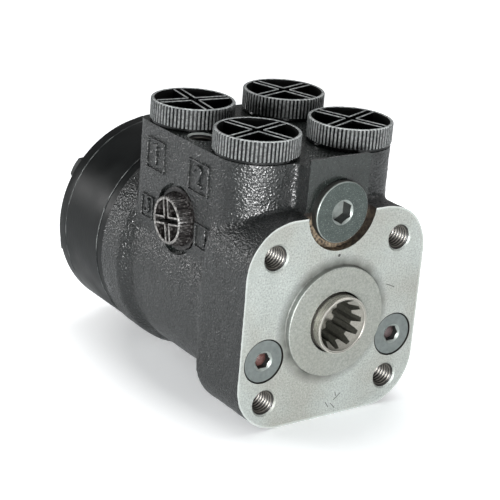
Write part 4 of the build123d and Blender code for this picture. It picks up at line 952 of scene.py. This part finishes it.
# It glows by itself for the camera, and least beside the unit: a painted contact shadow under it.
seen = add(tree, "LightPath", {}, {}, "Is Camera Ray")
mirrored = add(tree, "LightPath", {}, {}, "Is Glossy Ray")
through = add(tree, "LightPath", {}, {}, "Is Transmission Ray")
mirrored = add(tree, "Math", TIMES, {0: mirrored, 1: 0.1})
seen = add(tree, "Math", {"operation": "MAXIMUM"}, {0: seen, 1: mirrored})
seen = add(tree, "Math", {"operation": "MAXIMUM"}, {0: seen, 1: through})
away = add(tree, "VectorMath", {"operation": "SUBTRACT"}, {0: place, 1: (0, 0.05, 0)})
away = add(tree, "VectorMath", TIMES, {0: away, 1: (1 / 0.05, 1 / 0.085, 0)})
away = add(tree, "VectorMath", {"operation": "LENGTH"}, {0: away}, "Value")
painted_shadow_glow = add(tree, "MapRange", {}, {0: away, 1: 0.8, 2: 1.45, 3: 0.3, 4: 0.85})
seen = add(tree, "Math", TIMES, {0: seen, 1: painted_shadow_glow})
plug_in(tree, shader, {"Base Color": "#f1f5f7", "Roughness": 0.9})
plug_in(tree, shader, {"Emission Color": "#ffffff", "Emission Strength": seen})
bench = slab(bmesh.new(), (-2500, -2500, -1), (2500, 2500, 0))
SAG = 3.4  # the rear flange reaches this much lower than the column flange
lean = Matrix.Rotation(math.atan(-SAG / REAR_FACE), 4, "X")
bench = piece("bench", bench, [paper], lean, (0, 0, -41.0))

world = bpy.data.worlds.new("studio")
bpy.context.scene.world = world
world.use_nodes = True
sky = world.node_tree
seen = add(sky, "LightPath", {}, {}, "Is Camera Ray")
through = add(sky, "LightPath", {}, {}, "Is Transmission Ray")
seen = add(sky, "Math", {"operation": "MAXIMUM"}, {0: seen, 1: through})
level = add(sky, "MapRange", {}, {0: seen, 3: 0.12, 4: 1.0})
plug_in(sky, sky.nodes["Background"], {"Color": "#ffffff", "Strength": level})


def lamp(name, spot, aim, size, power):
    """A soft rectangular lamp that lights the unit but isn't seen itself."""
    light = bpy.data.lights.new(name, "AREA")
    light.shape = "RECTANGLE"
    light.size = size[0]
    light.size_y = size[1]
    light.energy = power
    held = bpy.data.objects.new(name, light)
    held.location = spot
    held.rotation_euler = (Vector(aim) - Vector(spot)).to_track_quat("-Z", "Y").to_euler()
    held.visible_camera = False
    bpy.context.scene.collection.objects.link(held)


lamp("low left panel", (-0.48, -0.77, 0.07), (0, 0.02, 0.05), (0.4, 0.24), 16.0)
lamp("low front panel", (0.2, -0.4, 0.02), (0, 0.0, 0.0), (0.3, 0.12), 0.2)
lamp("rear strip", (-0.7, 0.75, 0.24), (0, 0.06, 0.0), (0.16, 0.2), 2.4)
lamp("left softbox", (-0.5, -0.65, 0.6), (0, 0.04, 0.0), (0.24, 0.24), 0.4)
lamp("top softbox", (0.25, 0.2, 0.8), (0, 0.05, 0.0), (0.8, 0.8), 3.5)

azimuth, elevation, roll = math.radians(-36.11), math.radians(20.36), math.radians(4.63)
level = math.cos(elevation)
towards = (math.sin(azimuth) * level, -math.cos(azimuth) * level, math.sin(elevation))
forward = -Vector(towards)
right = forward.cross(Vector((0, 0, 1))).normalized()
up = right.cross(forward)
cosine, sine = math.cos(roll), math.sin(roll)
right, up = right * cosine + up * sine, up * cosine - right * sine
lens = bpy.data.cameras.new("camera")
lens.sensor_width = 36
lens.lens = 117.92
lens.shift_x = 0.02
lens.shift_y = -0.0026
lens.clip_end = 20
camera = bpy.data.objects.new("camera", lens)
bpy.context.scene.collection.objects.link(camera)
axes = Matrix((right, up, -forward)).transposed().to_4x4()
camera.matrix_world = Matrix.Translation(Vector((-369.65, -443.48, 239.48)) * MM) @ axes
bpy.context.scene.camera = camera
bpy.context.scene.view_settings.view_transform = "Standard"
